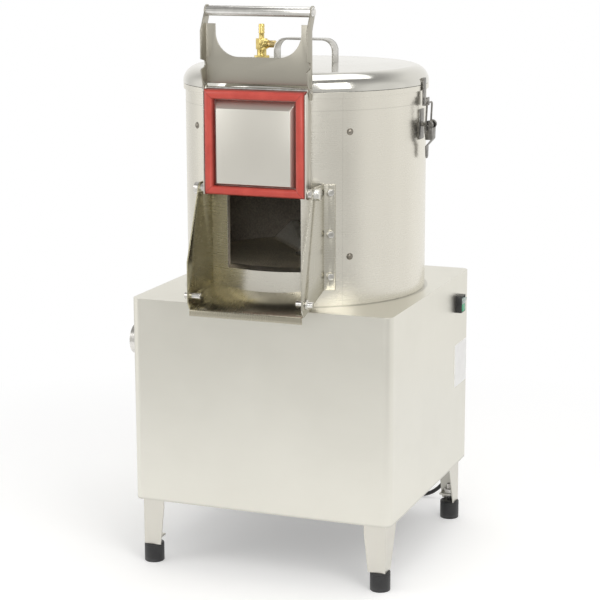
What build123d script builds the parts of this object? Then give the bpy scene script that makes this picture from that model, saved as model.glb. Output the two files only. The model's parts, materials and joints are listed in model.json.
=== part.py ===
from build123d import *
import math
import os

# A free-standing potato peeling machine. A square cabinet on four rubber feet carries a round drum
# with a hinged lid, a discharge chute with a swing-up door, and a spinning disc driven by a belt.
# Lengths are in millimetres, angles in degrees. X runs to the right, Y to the rear and Z up.
# The origin is on the floor, midway between the four feet. The door stands raised.

# Clearances
turning_gap = 0.05
moving_gap = 0.3
overrun = 5.0

# Cabinet
cabinet_width = 442.0
cabinet_depth = 432.0
cabinet_bottom = 111.5
cabinet_top = 448.0
cabinet_corner = 14.0
sheet = 1.5
cabinet_lip = 11.0
rear_window_width = 300.0
rear_window_bottom = 130.0
rear_window_top = 420.0
rear_cover_lap = 14.0
rear_cover_thickness = 1.2
vent_count = 8
vent_length = 120.0
vent_height = 5.0
vent_pitch = 14.0
vent_top = 380.0
cover_screw_radius = 2.0
cover_screw_head = 4.2
cover_screw_head_height = 2.6
cover_screw_length = 8.0
cover_screw_rows = 3

# Legs and feet
leg_thickness = 2.0
leg_bottom = 31.5
leg_front_width = 29.0
leg_side_width = 28.0
leg_post_width = 36.0
leg_gusset_width = 60.0
leg_taper_below = 16.0
foot_radius = 16.4
foot_inset = 10.0
foot_edge = 2.0
foot_plate_rise = 10.5
foot_plate_thickness = 3.0
foot_stud_radius = 5.0
foot_stud_depth = 11.5
foot_stud_top = 62.0
foot_nut_flats = 17.0
foot_nut_height = 8.0

# Frame inside the cabinet
rail_bottom = 116.0
rail_height = 30.0
rail_thickness = 3.0
beam_depth = 30.0
beam_height = 30.0
beam_wall = 2.5
bearing_plate_width = 140.0
bearing_plate_thickness = 6.0

# Drum
drum_radius = 197.1
drum_wall_thickness = 2.0
rim_radius = 200.2
rim_bottom = 776.0
rim_top = 784.6
liner_thickness = 8.0
liner_bottom = 470.0
liner_top = 765.0
liner_screw_radius = 2.5
liner_screw_head = 5.5
liner_screw_head_height = 3.0
liner_screw_inside = 3.0
liner_screw_angle = 41.0
liner_screw_heights = (527.0, 723.0)

# Discharge opening
opening_half_width = 62.0
opening_bottom = 500.0
opening_top = 624.0
opening_corner = 8.0
sill_outer_rise = 3.5
sill_inner_rise = 9.5
sill_depth = 10.0

# Sump and drain
sump_radius = 188.0
sump_floor_top = 323.5
sump_flange_width = 12.0
sump_flange_thickness = 1.5
spout_radius = 25.5
spout_wall = 1.5
spout_y = -80.0
spout_height = 348.0
spout_reach = 279.5
spout_collar_wall = 0.5
spout_collar_reach = 222.5

# Chute
chute_half_width = 96.0
chute_thickness = 2.0
chute_flange_width = 15.0
chute_flange_bottom = 475.0
chute_flange_drop = 1.0
chute_above_pivot = 10.3
chute_top_reach = 220.6
chute_front_height = 64.6
chute_reach = 270.0
chute_foot_rise = 10.0
chute_corner = 8.0
tray_lip_y = 265.7
tray_lip_height = 450.0
tray_lip_drop = 11.0
tray_slope = 16.4
chute_bolt_heights = (497.0, 564.0, 630.0)
chute_bolt_radius = 3.0
chute_bolt_flats = 10.0
chute_bolt_head_height = 5.0

# Door, hinged on the chute sides above the opening
door_pivot_y = -213.7
door_pivot_height = 632.7
door_flange_outer = 85.5
door_flange_thickness = 2.0
door_flange_reach = 226.0
door_ear_radius = 9.5
door_below_pivot = 7.0
door_pan_back = 204.0
door_pan_thickness = 2.0
pivot_bolt_radius = 5.0
pivot_bolt_flats = 17.0
pivot_bolt_head_height = 6.4
pivot_washer_radius = 10.0
pivot_washer_thickness = 2.0
pivot_bush_radius = 8.0
gasket_half_width = 83.2
gasket_height = 163.3
gasket_strip = 15.0
gasket_bottom_strip = 14.0
gasket_thickness = 13.5
gasket_round = 5.0
gasket_squeeze_gap = 0.6
plug_plate_thickness = 2.0
plug_gap = 1.0
plug_bevel_side = 6.0
plug_bevel_top = 12.8
plug_bevel_bottom = 3.5
plug_sheet = 1.2

# Rod that joins the locking lever to the door
rod_radius = 3.0
rod_y = -211.4
rod_above_pivot = 157.1
rod_ear_radius = 5.0
rod_ear_set_back = 1.5
rod_ear_drop = 13.0
door_back_drop = 20.0
rod_head_radius = 4.5
rod_head_thickness = 2.0

# Locking lever
lever_half_width = 88.0
lever_thickness = 2.0
lever_reach = 226.0
lever_back = 204.0
lever_length = 117.9
lever_tail_length = 14.5
lever_tail_set_back = 0.5
lever_rod_front_wall = 6.2
lever_taper_length = 27.2
lever_shoulder_drop = 29.7
lever_back_shoulder_drop = 27.7
lever_tail_round = 3.0
web_above_rod = 7.0
web_top_drop = 19.2
web_cut_depth = 50.5
web_cut_corner = 38.0
web_cut_half_width = 71.0
bar_radius = 8.0
bar_wall = 1.5
bar_y = -200.0
bar_ear_radius = 9.5
bar_end_length = 4.0
notch_y = -215.4
notch_rise = 37.4
notch_gap = 0.5
notch_mouth_rise = 8.3
latched_angle = 95.3
lever_travel = 35.0

# Latch pins on the chute sides
latch_pin_radius = 5.0
latch_pin_inside = 16.0
latch_pin_outside = 11.0
latch_pin_collar_radius = 8.0
latch_pin_collar_thickness = 3.0

# Lid
lid_radius = 200.7
lid_skirt_bottom = 785.3
lid_skirt_top = 790.0
lid_shoulder_width = 30.0
lid_shoulder_height = 23.0
lid_apex = 816.5
lid_sheet = 1.5
seal_bottom = 785.0
seal_top = 789.0
seal_width = 4.0
lid_handle_width = 104.0
lid_handle_strip = 25.0
lid_handle_thickness = 3.0
lid_handle_top = 855.0
lid_handle_corner = 20.0
lid_hinge_y = 209.0
lid_hinge_height = 797.0
lid_hinge_x = 67.0
lid_knuckle_radius = 7.0
lid_knuckle_half_width = 8.7
lid_hinge_pin_radius = 3.0
lid_hinge_ear = 4.0
lid_hinge_pad_bottom = 740.0
lid_hinge_pad_thickness = 2.5
lid_hinge_arm_thickness = 6.0
lid_hinge_arm_reach = 40.0

# Toggle latch on the right of the drum
catch_half_width = 7.0
catch_thickness = 2.0
catch_bottom = 752.0
catch_lip_top = 765.0
catch_reach = 8.0
catch_drum_gap = 1.0
catch_head_top = 796.0
latch_pivot_x = 214.0
latch_pivot_height = 722.0
latch_link_in = 4.5
latch_link_down = 8.0
latch_pad_thickness = 2.0
latch_pad_half_width = 12.0
latch_pad_bottom = 698.0
latch_pad_top = 746.0
latch_ear_inner = 5.5
latch_ear_thickness = 2.0
latch_ear_radius = 3.2
latch_cheek_inner = 8.5
latch_cheek_thickness = 2.0
latch_cheek_radius = 7.0
latch_web_offset = 3.6
latch_web_thickness = 1.5
latch_web_top_drop = 5.0
latch_web_straight = 18.0
latch_tip_x = 207.0
latch_tip_height = 667.0
latch_tip_half_width = 6.0
latch_tongue_length = 20.0
latch_pin_core_radius = 2.0
bail_wire_radius = 1.5
bail_half_width = 13.5
bail_top_height = 757.0
bail_top_x = 211.5

# Water valve on the lid
valve_x = -92.0
valve_y = 34.0
valve_nut_flats = 24.0
valve_nut_top = 822.0
valve_neck_radius = 8.0
valve_body_flats = 17.0
valve_body_bottom = 832.0
valve_body_top = 850.0
valve_tail_radius = 4.5
valve_barb_radius = 5.4
valve_barb_count = 3
valve_barb_pitch = 5.0
valve_tail_top = 874.0
valve_bore_radius = 2.5
valve_boss_radius = 7.0
valve_boss_reach = 12.5
valve_stem_radius = 4.0
valve_stem_depth = 8.0
valve_knob_radius = 6.0
valve_knob_length = 12.0
valve_slot_width = 1.6
valve_slot_depth = 3.0

# Peeling disc and its drive
disc_radius = 180.0
disc_top = 496.0
disc_thickness = 12.0
disc_edge = 2.0
disc_hub_radius = 28.0
disc_hub_bottom = 452.0
cam_inner = 30.0
cam_outer = 168.0
cam_inner_half_width = 10.0
cam_outer_half_width = 38.0
cam_inner_height = 12.0
cam_outer_height = 30.0
cam_ridge_half_width = 5.0
cam_angle = 208.0
disc_washer_radius = 18.0
disc_washer_thickness = 3.0
disc_bolt_flats = 19.0
disc_bolt_height = 8.0
shaft_radius = 12.5
shaft_bottom = 146.0
seal_ring_radius = 20.0
seal_ring_flange = 26.0
seal_ring_flange_height = 4.0
bearing_radius = 26.0
bearing_width = 15.0
bearing_housing_radius = 34.0
bearing_housing_bottom = 204.0
bearing_housing_flange = 48.0
bearing_housing_flange_height = 10.0
bearing_seat_depth = 19.0
bearing_bore_radius = 20.0
pulley_rim_radius = 88.0
pulley_pitch_radius = 84.0
pulley_bottom = 152.0
pulley_width = 18.0
pulley_hub_radius = 20.0
pulley_hub_top = 190.0
pulley_web_thickness = 8.0
pulley_rim_wall = 6.0
motor_pulley_rim_radius = 32.0
motor_pitch_radius = 28.0
belt_outside = 3.0
belt_inside = 5.0
belt_outer_half_width = 6.5
belt_inner_half_width = 3.8
belt_gap = 0.5
motor_y = 125.0
motor_radius = 58.0
motor_bottom = 186.0
motor_top = 282.0
motor_bell_height = 14.0
motor_bell_radius = 46.0
motor_boss_radius = 18.0
motor_boss_height = 5.0
motor_fin_count = 24
motor_fin_height = 4.0
motor_fin_thickness = 2.0
motor_shaft_radius = 9.5
motor_shaft_depth = 20.0
motor_foot_half_width = 40.0
motor_foot_bottom = 206.0
motor_foot_top = 262.0
bracket_y = 52.5
bracket_thickness = 5.0
bracket_half_width = 50.0
bracket_bottom = 196.0
bracket_flange = 40.0

# Electrics
switch_y = 146.0
switch_height = 400.0
switch_half_depth = 12.0
switch_half_height = 14.5
switch_wall_y = 3.0
switch_wall_z = 1.5
switch_reach = 10.5
switch_body_depth = 22.0
switch_flange = 1.5
switch_flange_thickness = 2.0
rocker_half_width = 8.7
rocker_half_height = 11.2
rocker_pivot_in = 1.0
rocker_reach = 2.5
rocker_back = 5.0
rocker_dish = 2.0
rocker_trunnion_radius = 1.5
rocker_trunnion_reach = 1.2
rocker_tilt = 12.0
plate_y = 167.0
plate_height = 291.0
plate_half_width = 35.0
plate_half_height = 37.0
plate_thickness = 0.8

# Mains lead
cord_radius = 3.5
gland_x = 178.0
gland_height = 140.0
gland_flats = 24.0
gland_nut_height = 6.0
gland_end_radius = 5.5
gland_reach = 22.0
gland_thread_radius = 8.0
gland_inside = 5.0
coil_x = -60.0
coil_y = 345.0
coil_radius = 49.5
coil_pitch = 7.6
coil_layer_turns = 2.25
coil_climb_turns = 0.5
plug_length = 44.0
plug_half_width = 17.0
coil_tail = 16.0
plug_tail_length = 28.0
plug_tail_radius = 5.0
plug_tail_root_radius = 8.0
plug_pin_radius = 2.4
plug_pin_length = 19.0
plug_pin_half_pitch = 9.5
plug_corner = 6.0

cord_diameter = 2 * cord_radius
half_width = cabinet_width / 2
half_depth = cabinet_depth / 2


def block(x, y, z):
    """A box between the two ends of its reach along each axis."""
    low = [min(reach) for reach in (x, y, z)]
    high = [max(reach) for reach in (x, y, z)]
    middle = [(a + b) / 2 for a, b in zip(low, high)]
    size = [b - a for a, b in zip(low, high)]
    return Pos(*middle) * Box(*size)


def post(radius, z, x=0, y=0):
    """An upright cylinder between two heights."""
    return Pos(x, y, (z[0] + z[1]) / 2) * Cylinder(radius, abs(z[1] - z[0]))


def rod_x(radius, x, y, z):
    """A cylinder along X."""
    return Pos((x[0] + x[1]) / 2, y, z) * Rot(0, 90, 0) * Cylinder(radius, abs(x[1] - x[0]))


def rod_y_way(radius, x, y, z):
    """A cylinder along Y."""
    return Pos(x, (y[0] + y[1]) / 2, z) * Rot(90, 0, 0) * Cylinder(radius, abs(y[1] - y[0]))


def tube(outer, inner, z, x=0, y=0):
    """An upright tube between two heights."""
    return post(outer, z, x, y) - post(inner, z, x, y)


def flat(points, corners=()):
    """A flat face through the points, with chosen corners (number, radius) rounded."""
    face = Polygon(*points, align=None)
    for number, radius in corners:
        spot = Vector(*points[number])
        corner = min(face.vertices(), key=lambda found: (Vector(found) - spot).length)
        face = fillet(corner, radius)
    return face


def side_plate(face, x):
    """A face drawn in Y and Z, made solid between two places along X."""
    low, high = min(x), max(x)
    return Pos(low, 0, 0) * extrude(Plane.YZ * face, high - low, dir=(1, 0, 0))


def front_plate(face, y):
    """A face drawn in X and Z, made solid between two places along Y."""
    low, high = min(y), max(y)
    return Pos(0, low, 0) * extrude(Plane.XZ * face, high - low, dir=(0, 1, 0))


def turned(points):
    """A solid of revolution about Z from points of radius and height."""
    return revolve(Plane.XZ * Polygon(*points, align=None), Axis.Z)


def rounded_box(width, depth, z, corner):
    """An upright box with rounded upright edges."""
    return Pos(0, 0, z[0]) * extrude(RectangleRounded(width, depth, corner), z[1] - z[0])


def group(*shapes):
    """Separate solids kept together in one piece's file."""
    return Compound([solid for shape in shapes for solid in shape.solids()])


def mirrored(shape):
    """The same piece on the other side of the machine."""
    return mirror(shape, about=Plane.YZ)


def seat(spot, outward):
    """A place on a surface, with its Z pointing away from it."""
    return Plane(origin=spot, z_dir=outward).location


def hex_prism(flats, height):
    """A hexagon head standing on the plane."""
    return extrude(RegularPolygon(flats / 2, 6, major_radius=False), height)


def hex_bolt(flats, head_height, radius, length):
    """A hexagon bolt with its shank below the plane."""
    return hex_prism(flats, head_height) + Pos(0, 0, -length / 2) * Cylinder(radius, length)


def round_screw(head_radius, head_height, radius, length):
    """A button-headed screw with its shank below the plane."""
    dome_radius = (head_radius**2 + head_height**2) / (2 * head_height)
    dome = Pos(0, 0, head_height - dome_radius) * Sphere(dome_radius)
    head = dome & Pos(0, 0, head_height / 2) * Cylinder(head_radius + overrun, head_height)
    return head + Pos(0, 0, -length / 2) * Cylinder(radius, length)


def drum_point(radius, angle, height):
    """A place on the drum, its angle measured from the front towards the right."""
    turn = math.radians(angle)
    return (radius * math.sin(turn), -radius * math.cos(turn), height)


# Places worked out from the sizes above
drum_inside = drum_radius - drum_wall_thickness
liner_outside = drum_inside - moving_gap
liner_inside = liner_outside - liner_thickness
leg_x = half_width - cabinet_lip
leg_y = half_depth - cabinet_lip
foot_x = leg_x - leg_thickness - foot_inset
foot_y = leg_y - leg_thickness - foot_inset
foot_height = leg_bottom
foot_plate_bottom = leg_bottom + foot_plate_rise
foot_plate_top = foot_plate_bottom + foot_plate_thickness
bearing_plate_top = sump_floor_top - sheet
bearing_plate_bottom = bearing_plate_top - bearing_plate_thickness
beam_bottom = bearing_plate_bottom - beam_height
tray_tangent = math.tan(math.radians(tray_slope))
chute_inside = chute_half_width - chute_thickness
chute_top = door_pivot_height + chute_above_pivot
chute_flange_top = chute_top - chute_flange_drop
chute_foot_height = tray_lip_height + chute_foot_rise
chute_elbow_height = chute_foot_height + chute_front_height
door_flange_inner = door_flange_outer - door_flange_thickness
gasket_front = -2 * door_pivot_y - drum_radius - gasket_squeeze_gap
gasket_back = gasket_front - gasket_thickness
rod_height = door_pivot_height + rod_above_pivot
door_bottom = door_pivot_height - door_below_pivot
gasket_top = door_bottom + gasket_height
plug_base_half_width = gasket_half_width - gasket_strip - plug_gap
plug_base_bottom = door_bottom + gasket_bottom_strip + plug_gap
plug_base_top = gasket_top - gasket_strip - plug_gap
bar_height = rod_height + lever_length
closed_rod_y = 2 * door_pivot_y - rod_y
closed_rod_height = 2 * door_pivot_height - rod_height
notch_height = rod_height + notch_rise
notch_reach = math.hypot(notch_y - rod_y, notch_height - rod_height)
belt_height = pulley_bottom + pulley_width / 2
latch_link_x = latch_pivot_x - latch_link_in
latch_link_height = latch_pivot_height - latch_link_down


def turned_point(y, z, angle):
    """A Y and Z pair turned about X."""
    turn = math.radians(angle)
    return (y * math.cos(turn) - z * math.sin(turn), y * math.sin(turn) + z * math.cos(turn))


seat_y, seat_z = turned_point(notch_y - rod_y, notch_height - rod_height, latched_angle)
latch_pin_y = closed_rod_y + seat_y
latch_pin_height = closed_rod_height + seat_z


def tray_height(y):
    """The top of the tray at a place along Y."""
    return tray_lip_height + (y + tray_lip_y) * tray_tangent


# Cabinet and frame


def screw_places():
    """Where the rear cover is screwed on."""
    edge_x = rear_window_width / 2 + rear_cover_lap / 2
    low = rear_window_bottom - rear_cover_lap / 2
    high = rear_window_top + rear_cover_lap / 2
    step = (high - low) / (cover_screw_rows - 1)
    return [(side * edge_x, low + row * step) for side in (-1, 1) for row in range(cover_screw_rows)]


def cabinet_shell():
    """The wrapped sheet casing: open below, with a window in the rear for the cover."""
    inner_corner = cabinet_corner - sheet
    shell = rounded_box(cabinet_width, cabinet_depth, (cabinet_bottom, cabinet_top), cabinet_corner)
    inner_z = (cabinet_bottom + sheet, cabinet_top - sheet)
    inner_width = cabinet_width - 2 * sheet
    inner_depth = cabinet_depth - 2 * sheet
    shell -= rounded_box(inner_width, inner_depth, inner_z, inner_corner)
    below = (cabinet_bottom - overrun, cabinet_bottom + sheet + overrun)
    shell -= block((-leg_x, leg_x), (-leg_y, leg_y), below)
    above = (cabinet_top - sheet - overrun, cabinet_top + overrun)
    shell -= post(sump_radius - sheet, above)
    window_x = (-rear_window_width / 2, rear_window_width / 2)
    through_rear = (half_depth - sheet - overrun, half_depth + overrun)
    shell -= block(window_x, through_rear, (rear_window_bottom, rear_window_top))
    through_left = (-half_width - overrun, -half_width + sheet + overrun)
    shell -= rod_x(spout_radius + spout_collar_wall, through_left, spout_y, spout_height)
    through_right = (half_width - sheet - overrun, half_width + overrun)
    switch_hole_y = switch_half_depth - switch_flange
    switch_hole_z = switch_half_height - switch_flange
    shell -= block(
        through_right,
        (switch_y - switch_hole_y, switch_y + switch_hole_y),
        (switch_height - switch_hole_z, switch_height + switch_hole_z),
    )
    shell -= rod_y_way(gland_thread_radius, gland_x, through_rear, gland_height)
    for x, z in screw_places():
        shell -= rod_y_way(cover_screw_radius, x, through_rear, z)
    return shell


def rear_cover():
    """The flat panel over the window in the rear, with a row of vents."""
    reach_x = rear_window_width / 2 + rear_cover_lap
    z = (rear_window_bottom - rear_cover_lap, rear_window_top + rear_cover_lap)
    y = (half_depth, half_depth + rear_cover_thickness)
    cover = block((-reach_x, reach_x), y, z)
    through = (half_depth - overrun, half_depth + rear_cover_thickness + overrun)
    for number in range(vent_count):
        height = vent_top - number * vent_pitch
        slot = SlotOverall(vent_length, vent_height)
        cover -= front_plate(Pos(0, height) * slot, through)
    for x, z in screw_places():
        cover -= rod_y_way(cover_screw_radius, x, through, z)
    return cover


def rear_cover_screws():
    """The pan-headed screws round the rear cover."""
    screw = round_screw(cover_screw_head, cover_screw_head_height, cover_screw_radius, cover_screw_length)
    y = half_depth + rear_cover_thickness
    return group(*[seat((x, y, z), (0, 1, 0)) * screw for x, z in screw_places()])


def leg(side, end):
    """One corner angle: a tapering leg below the cabinet and a post inside it."""
    top = cabinet_top - sheet
    taper_top = cabinet_bottom - leg_taper_below
    front_face = flat(
        [
            (leg_x, leg_bottom),
            (leg_x, top),
            (leg_x - leg_post_width, top),
            (leg_x - leg_post_width, taper_top),
            (leg_x - leg_front_width, leg_bottom),
        ]
    )
    side_face = flat(
        [
            (-leg_y, leg_bottom),
            (-leg_y, top),
            (-leg_y + leg_post_width, top),
            (-leg_y + leg_post_width, cabinet_bottom + leg_gusset_width - leg_post_width),
            (-leg_y + leg_gusset_width, cabinet_bottom),
            (-leg_y + leg_side_width, leg_bottom),
        ]
    )
    angle = front_plate(front_face, (-leg_y, -leg_y + leg_thickness))
    angle += side_plate(side_face, (leg_x - leg_thickness, leg_x))
    plate_z = (foot_plate_bottom, foot_plate_top)
    corner_x = leg_x - leg_thickness
    corner_y = -leg_y + leg_thickness
    plate_x = (corner_x - leg_side_width + leg_thickness, corner_x)
    plate = block(plate_x, (corner_y, -foot_y + foot_stud_radius * 2), plate_z)
    plate -= post(foot_stud_radius, plate_z, foot_x, -foot_y)
    angle += plate
    if end > 0:
        angle = mirror(angle, about=Plane.XZ)
    return angle if side > 0 else mirrored(angle)


def rubber_feet():
    """The four round rubber feet."""
    foot = post(foot_radius, (0, foot_height))
    foot = chamfer(foot.edges().filter_by(GeomType.CIRCLE), foot_edge)
    foot -= post(foot_stud_radius, (foot_height - foot_stud_depth, foot_height))
    places = [(side * foot_x, end * foot_y) for side in (-1, 1) for end in (-1, 1)]
    return group(*[Pos(x, y, 0) * foot for x, y in places])


def foot_bolts():
    """The studs of the feet, each with its nut on the leg's foot plate."""
    stud = post(foot_stud_radius, (foot_height - foot_stud_depth, foot_stud_top))
    stud += Pos(0, 0, foot_plate_top) * hex_prism(foot_nut_flats, foot_nut_height)
    places = [(side * foot_x, end * foot_y) for side in (-1, 1) for end in (-1, 1)]
    return group(*[Pos(x, y, 0) * stud for x, y in places])


def base_frame():
    """The flat bar ring that ties the four legs together just inside the cabinet."""
    x = leg_x - leg_thickness
    y = leg_y - leg_thickness
    z = (rail_bottom, rail_bottom + rail_height)
    wide = block((-x, x), (-y, y), z)
    return wide - block(
        (-x + rail_thickness, x - rail_thickness), (-y + rail_thickness, y - rail_thickness), z
    )


def cross_beams():
    """The two square tubes from side to side that carry the bearing plate."""
    x = leg_x - leg_thickness
    outer_y = leg_y - leg_thickness
    z = (beam_bottom, beam_bottom + beam_height)
    beam = block((-x, x), (outer_y - beam_depth, outer_y), z)
    hollow_y = (outer_y - beam_depth + beam_wall, outer_y - beam_wall)
    beam -= block((-x, x), hollow_y, (z[0] + beam_wall, z[1] - beam_wall))
    return group(beam, mirror(beam, about=Plane.XZ))


def bearing_plate():
    """The plate across the two beams, under the sump."""
    y = leg_y - leg_thickness
    z = (bearing_plate_bottom, bearing_plate_top)
    plate = block((-bearing_plate_width / 2, bearing_plate_width / 2), (-y, y), z)
    return plate - post(seal_ring_radius, z)


# Drum and sump


def sump_pan():
    """The round pan that catches water and peel below the disc."""
    wall_z = (bearing_plate_top, cabinet_top - sheet)
    pan = post(sump_radius, wall_z) - post(sump_radius - sheet, (sump_floor_top, wall_z[1]))
    flange_z = (wall_z[1] - sump_flange_thickness, wall_z[1])
    pan += tube(sump_radius + sump_flange_width, sump_radius, flange_z)
    pan -= post(seal_ring_radius, (wall_z[0] - overrun, wall_z[0] + overrun))
    bore_x = (-sump_radius - overrun, -sump_radius / 2)
    pan -= rod_x(spout_radius - spout_wall, bore_x, spout_y, spout_height)
    return pan


def drain_spout():
    """The drain pipe from the sump out through the left wall, a little thicker up to the wall."""
    inner_end = -sump_radius + 2 * spout_radius
    reach = (-spout_reach, inner_end)
    pipe = rod_x(spout_radius, reach, spout_y, spout_height)
    collar = (-spout_collar_reach, inner_end)
    pipe += rod_x(spout_radius + spout_collar_wall, collar, spout_y, spout_height)
    pipe -= rod_x(spout_radius - spout_wall, reach, spout_y, spout_height)
    return pipe - post(sump_radius, (bearing_plate_top, cabinet_top))


def opening_cut(margin=0.0):
    """The block that cuts the discharge opening."""
    half = opening_half_width + margin
    face = flat(
        [
            (-half, opening_bottom - margin),
            (half, opening_bottom - margin),
            (half, opening_top + margin),
            (-half, opening_top + margin),
        ],
        ((2, opening_corner), (3, opening_corner)),
    )
    return front_plate(face, (-drum_radius - overrun, -liner_inside / 2))


def liner_screw_places():
    """The screws' angles and heights round the drum."""
    angles = (liner_screw_angle, -liner_screw_angle, 180 - liner_screw_angle, liner_screw_angle - 180)
    return [(angle, height) for angle in angles for height in liner_screw_heights]


def radial_hole(radius, angle, height):
    """A cylinder through the drum wall along a radius."""
    place = seat(drum_point(drum_radius, angle, height), drum_point(1, angle, 0))
    return place * Cylinder(radius, (liner_thickness + drum_wall_thickness) * 4)


def chute_bolt_angle():
    """The angle round the drum of the chute's bolts, on the right."""
    middle = chute_half_width + chute_flange_width / 2
    return math.degrees(math.asin(middle / drum_radius))


def drum_wall():
    """The drum's sheet wall with its rolled rim and the turned-in sill of the opening."""
    wall = turned(
        [
            (drum_inside, cabinet_top),
            (drum_radius, cabinet_top),
            (drum_radius, rim_bottom),
            (rim_radius, rim_bottom),
            (rim_radius, rim_top),
            (drum_inside, rim_top),
        ]
    )
    wall -= opening_cut()
    sill_ring = turned(
        [
            (drum_radius - sill_depth, opening_bottom),
            (drum_radius, opening_bottom),
            (drum_radius, opening_bottom + sill_outer_rise),
            (drum_radius - sill_depth, opening_bottom + sill_inner_rise),
        ]
    )
    sill_y = (-drum_radius - overrun, 0)
    sill_z = (opening_bottom, opening_bottom + sill_inner_rise)
    wall += sill_ring & block((-opening_half_width, opening_half_width), sill_y, sill_z)
    for angle, height in liner_screw_places():
        wall -= radial_hole(liner_screw_radius, angle, height)
    for side in (-1, 1):
        for height in chute_bolt_heights:
            wall -= radial_hole(chute_bolt_radius, side * chute_bolt_angle(), height)
    return wall


def abrasive_liner():
    """The rough liner that peels, screwed to the inside of the drum."""
    liner = tube(liner_outside, liner_inside, (liner_bottom, liner_top))
    liner -= opening_cut(moving_gap)
    depth = drum_wall_thickness + liner_screw_inside + moving_gap
    for angle, height in liner_screw_places():
        place = seat(drum_point(drum_radius - depth / 2, angle, height), drum_point(1, angle, 0))
        liner -= place * Cylinder(liner_screw_radius, depth)
    return liner


def liner_screws():
    """The button-headed screws that hold the liner."""
    length = drum_wall_thickness + liner_screw_inside
    screw = round_screw(liner_screw_head, liner_screw_head_height, liner_screw_radius, length)
    places = [
        seat(drum_point(drum_radius, angle, height), drum_point(1, angle, 0))
        for angle, height in liner_screw_places()
    ]
    drum_core = post(drum_radius, (cabinet_top, rim_top))
    heads = []
    for place in places:
        outside = drum_core - place * Cylinder(liner_screw_radius, length * 4)
        heads.append((place * screw) - outside)
    return group(*heads)


# Chute


def chute_side(side):
    """One chute side plate with its flange lying on the drum."""
    face = flat(
        [
            (-chute_top_reach, chute_top),
            (-chute_reach, chute_elbow_height),
            (-chute_reach, chute_foot_height),
            (-tray_lip_y + chute_thickness, tray_height(-tray_lip_y) - chute_thickness / 2),
            (-liner_inside / 2, tray_height(-liner_inside / 2) - chute_thickness / 2),
            (-liner_inside / 2, chute_top),
        ],
        ((0, chute_corner), (2, chute_corner)),
    )
    plate = side_plate(face, (chute_inside, chute_half_width))
    drum_core = post(drum_radius, (cabinet_top, rim_top))
    plate -= drum_core
    flange = post(drum_radius + chute_thickness, (chute_flange_bottom, chute_flange_top)) - drum_core
    flange &= block(
        (chute_inside, chute_half_width + chute_flange_width),
        (-drum_radius, 0),
        (chute_flange_bottom, chute_flange_top),
    )
    plate += flange
    through = (chute_inside - overrun, chute_half_width + overrun)
    plate -= rod_x(pivot_bolt_radius, through, door_pivot_y, door_pivot_height)
    plate -= rod_x(latch_pin_radius, through, latch_pin_y, latch_pin_height)
    for height in chute_bolt_heights:
        plate -= radial_hole(chute_bolt_radius, chute_bolt_angle(), height)
    return plate if side > 0 else mirrored(plate)


def chute_tray():
    """The sloping floor of the chute with its turned-down lip."""
    back = -liner_inside / 2
    thick = chute_thickness / math.cos(math.radians(tray_slope))
    face = flat(
        [
            (-tray_lip_y, tray_lip_height),
            (-tray_lip_y - chute_thickness, tray_lip_height - chute_thickness),
            (-tray_lip_y - chute_thickness, tray_lip_height - tray_lip_drop),
            (-tray_lip_y, tray_lip_height - tray_lip_drop),
            (-tray_lip_y, tray_lip_height - thick),
            (back, tray_height(back) - thick),
            (back, tray_height(back)),
        ]
    )
    tray = side_plate(face, (-chute_inside, chute_inside))
    return tray - post(drum_radius, (cabinet_top - overrun, rim_top))


def chute_bolts():
    """The hexagon bolts that hold the chute's flanges to the drum."""
    length = drum_wall_thickness + chute_thickness
    bolt = hex_bolt(chute_bolt_flats, chute_bolt_head_height, chute_bolt_radius, length)
    flange_outside = drum_radius + chute_thickness
    core = post(drum_radius + chute_thickness, (cabinet_top, rim_top))
    bolts = []
    for side in (-1, 1):
        for height in chute_bolt_heights:
            angle = side * chute_bolt_angle()
            place = seat(drum_point(flange_outside, angle, height), drum_point(1, angle, 0))
            head = (place * bolt) - (core - place * Cylinder(chute_bolt_radius, length * 4))
            bolts.append(head - post(drum_inside, (cabinet_top, rim_top)))
    return group(*bolts)


def latch_pins():
    """The two pins through the chute sides that the locking lever hooks over."""
    reach = (chute_half_width - latch_pin_inside, chute_half_width + latch_pin_outside)
    pin = rod_x(latch_pin_radius, reach, latch_pin_y, latch_pin_height)
    collar = (chute_half_width, chute_half_width + latch_pin_collar_thickness)
    pin += rod_x(latch_pin_collar_radius, collar, latch_pin_y, latch_pin_height)
    return group(pin, mirrored(pin))


# Door


def door_pivot_bolts():
    """The two hexagon bolts that the door turns on, through the chute sides."""
    head_from = chute_half_width + pivot_washer_thickness
    shank = (door_flange_inner, head_from)
    bolt = rod_x(pivot_bolt_radius, shank, door_pivot_y, door_pivot_height)
    washer = (chute_half_width, head_from)
    bolt += rod_x(pivot_washer_radius, washer, door_pivot_y, door_pivot_height)
    head = seat((head_from, door_pivot_y, door_pivot_height), (1, 0, 0))
    bolt += head * hex_prism(pivot_bolt_flats, pivot_bolt_head_height)
    return group(bolt, mirrored(bolt))


def door_pivot_bushes():
    """The spacer bushes between the door and the chute sides."""
    reach = (door_flange_outer + moving_gap, chute_inside)
    bush = rod_x(pivot_bush_radius, reach, door_pivot_y, door_pivot_height)
    bush -= rod_x(pivot_bolt_radius, reach, door_pivot_y, door_pivot_height)
    return group(bush, mirrored(bush))


def disc_face(radius, y, z):
    """A round face drawn in Y and Z."""
    return Pos(y, z) * Circle(radius)


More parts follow.
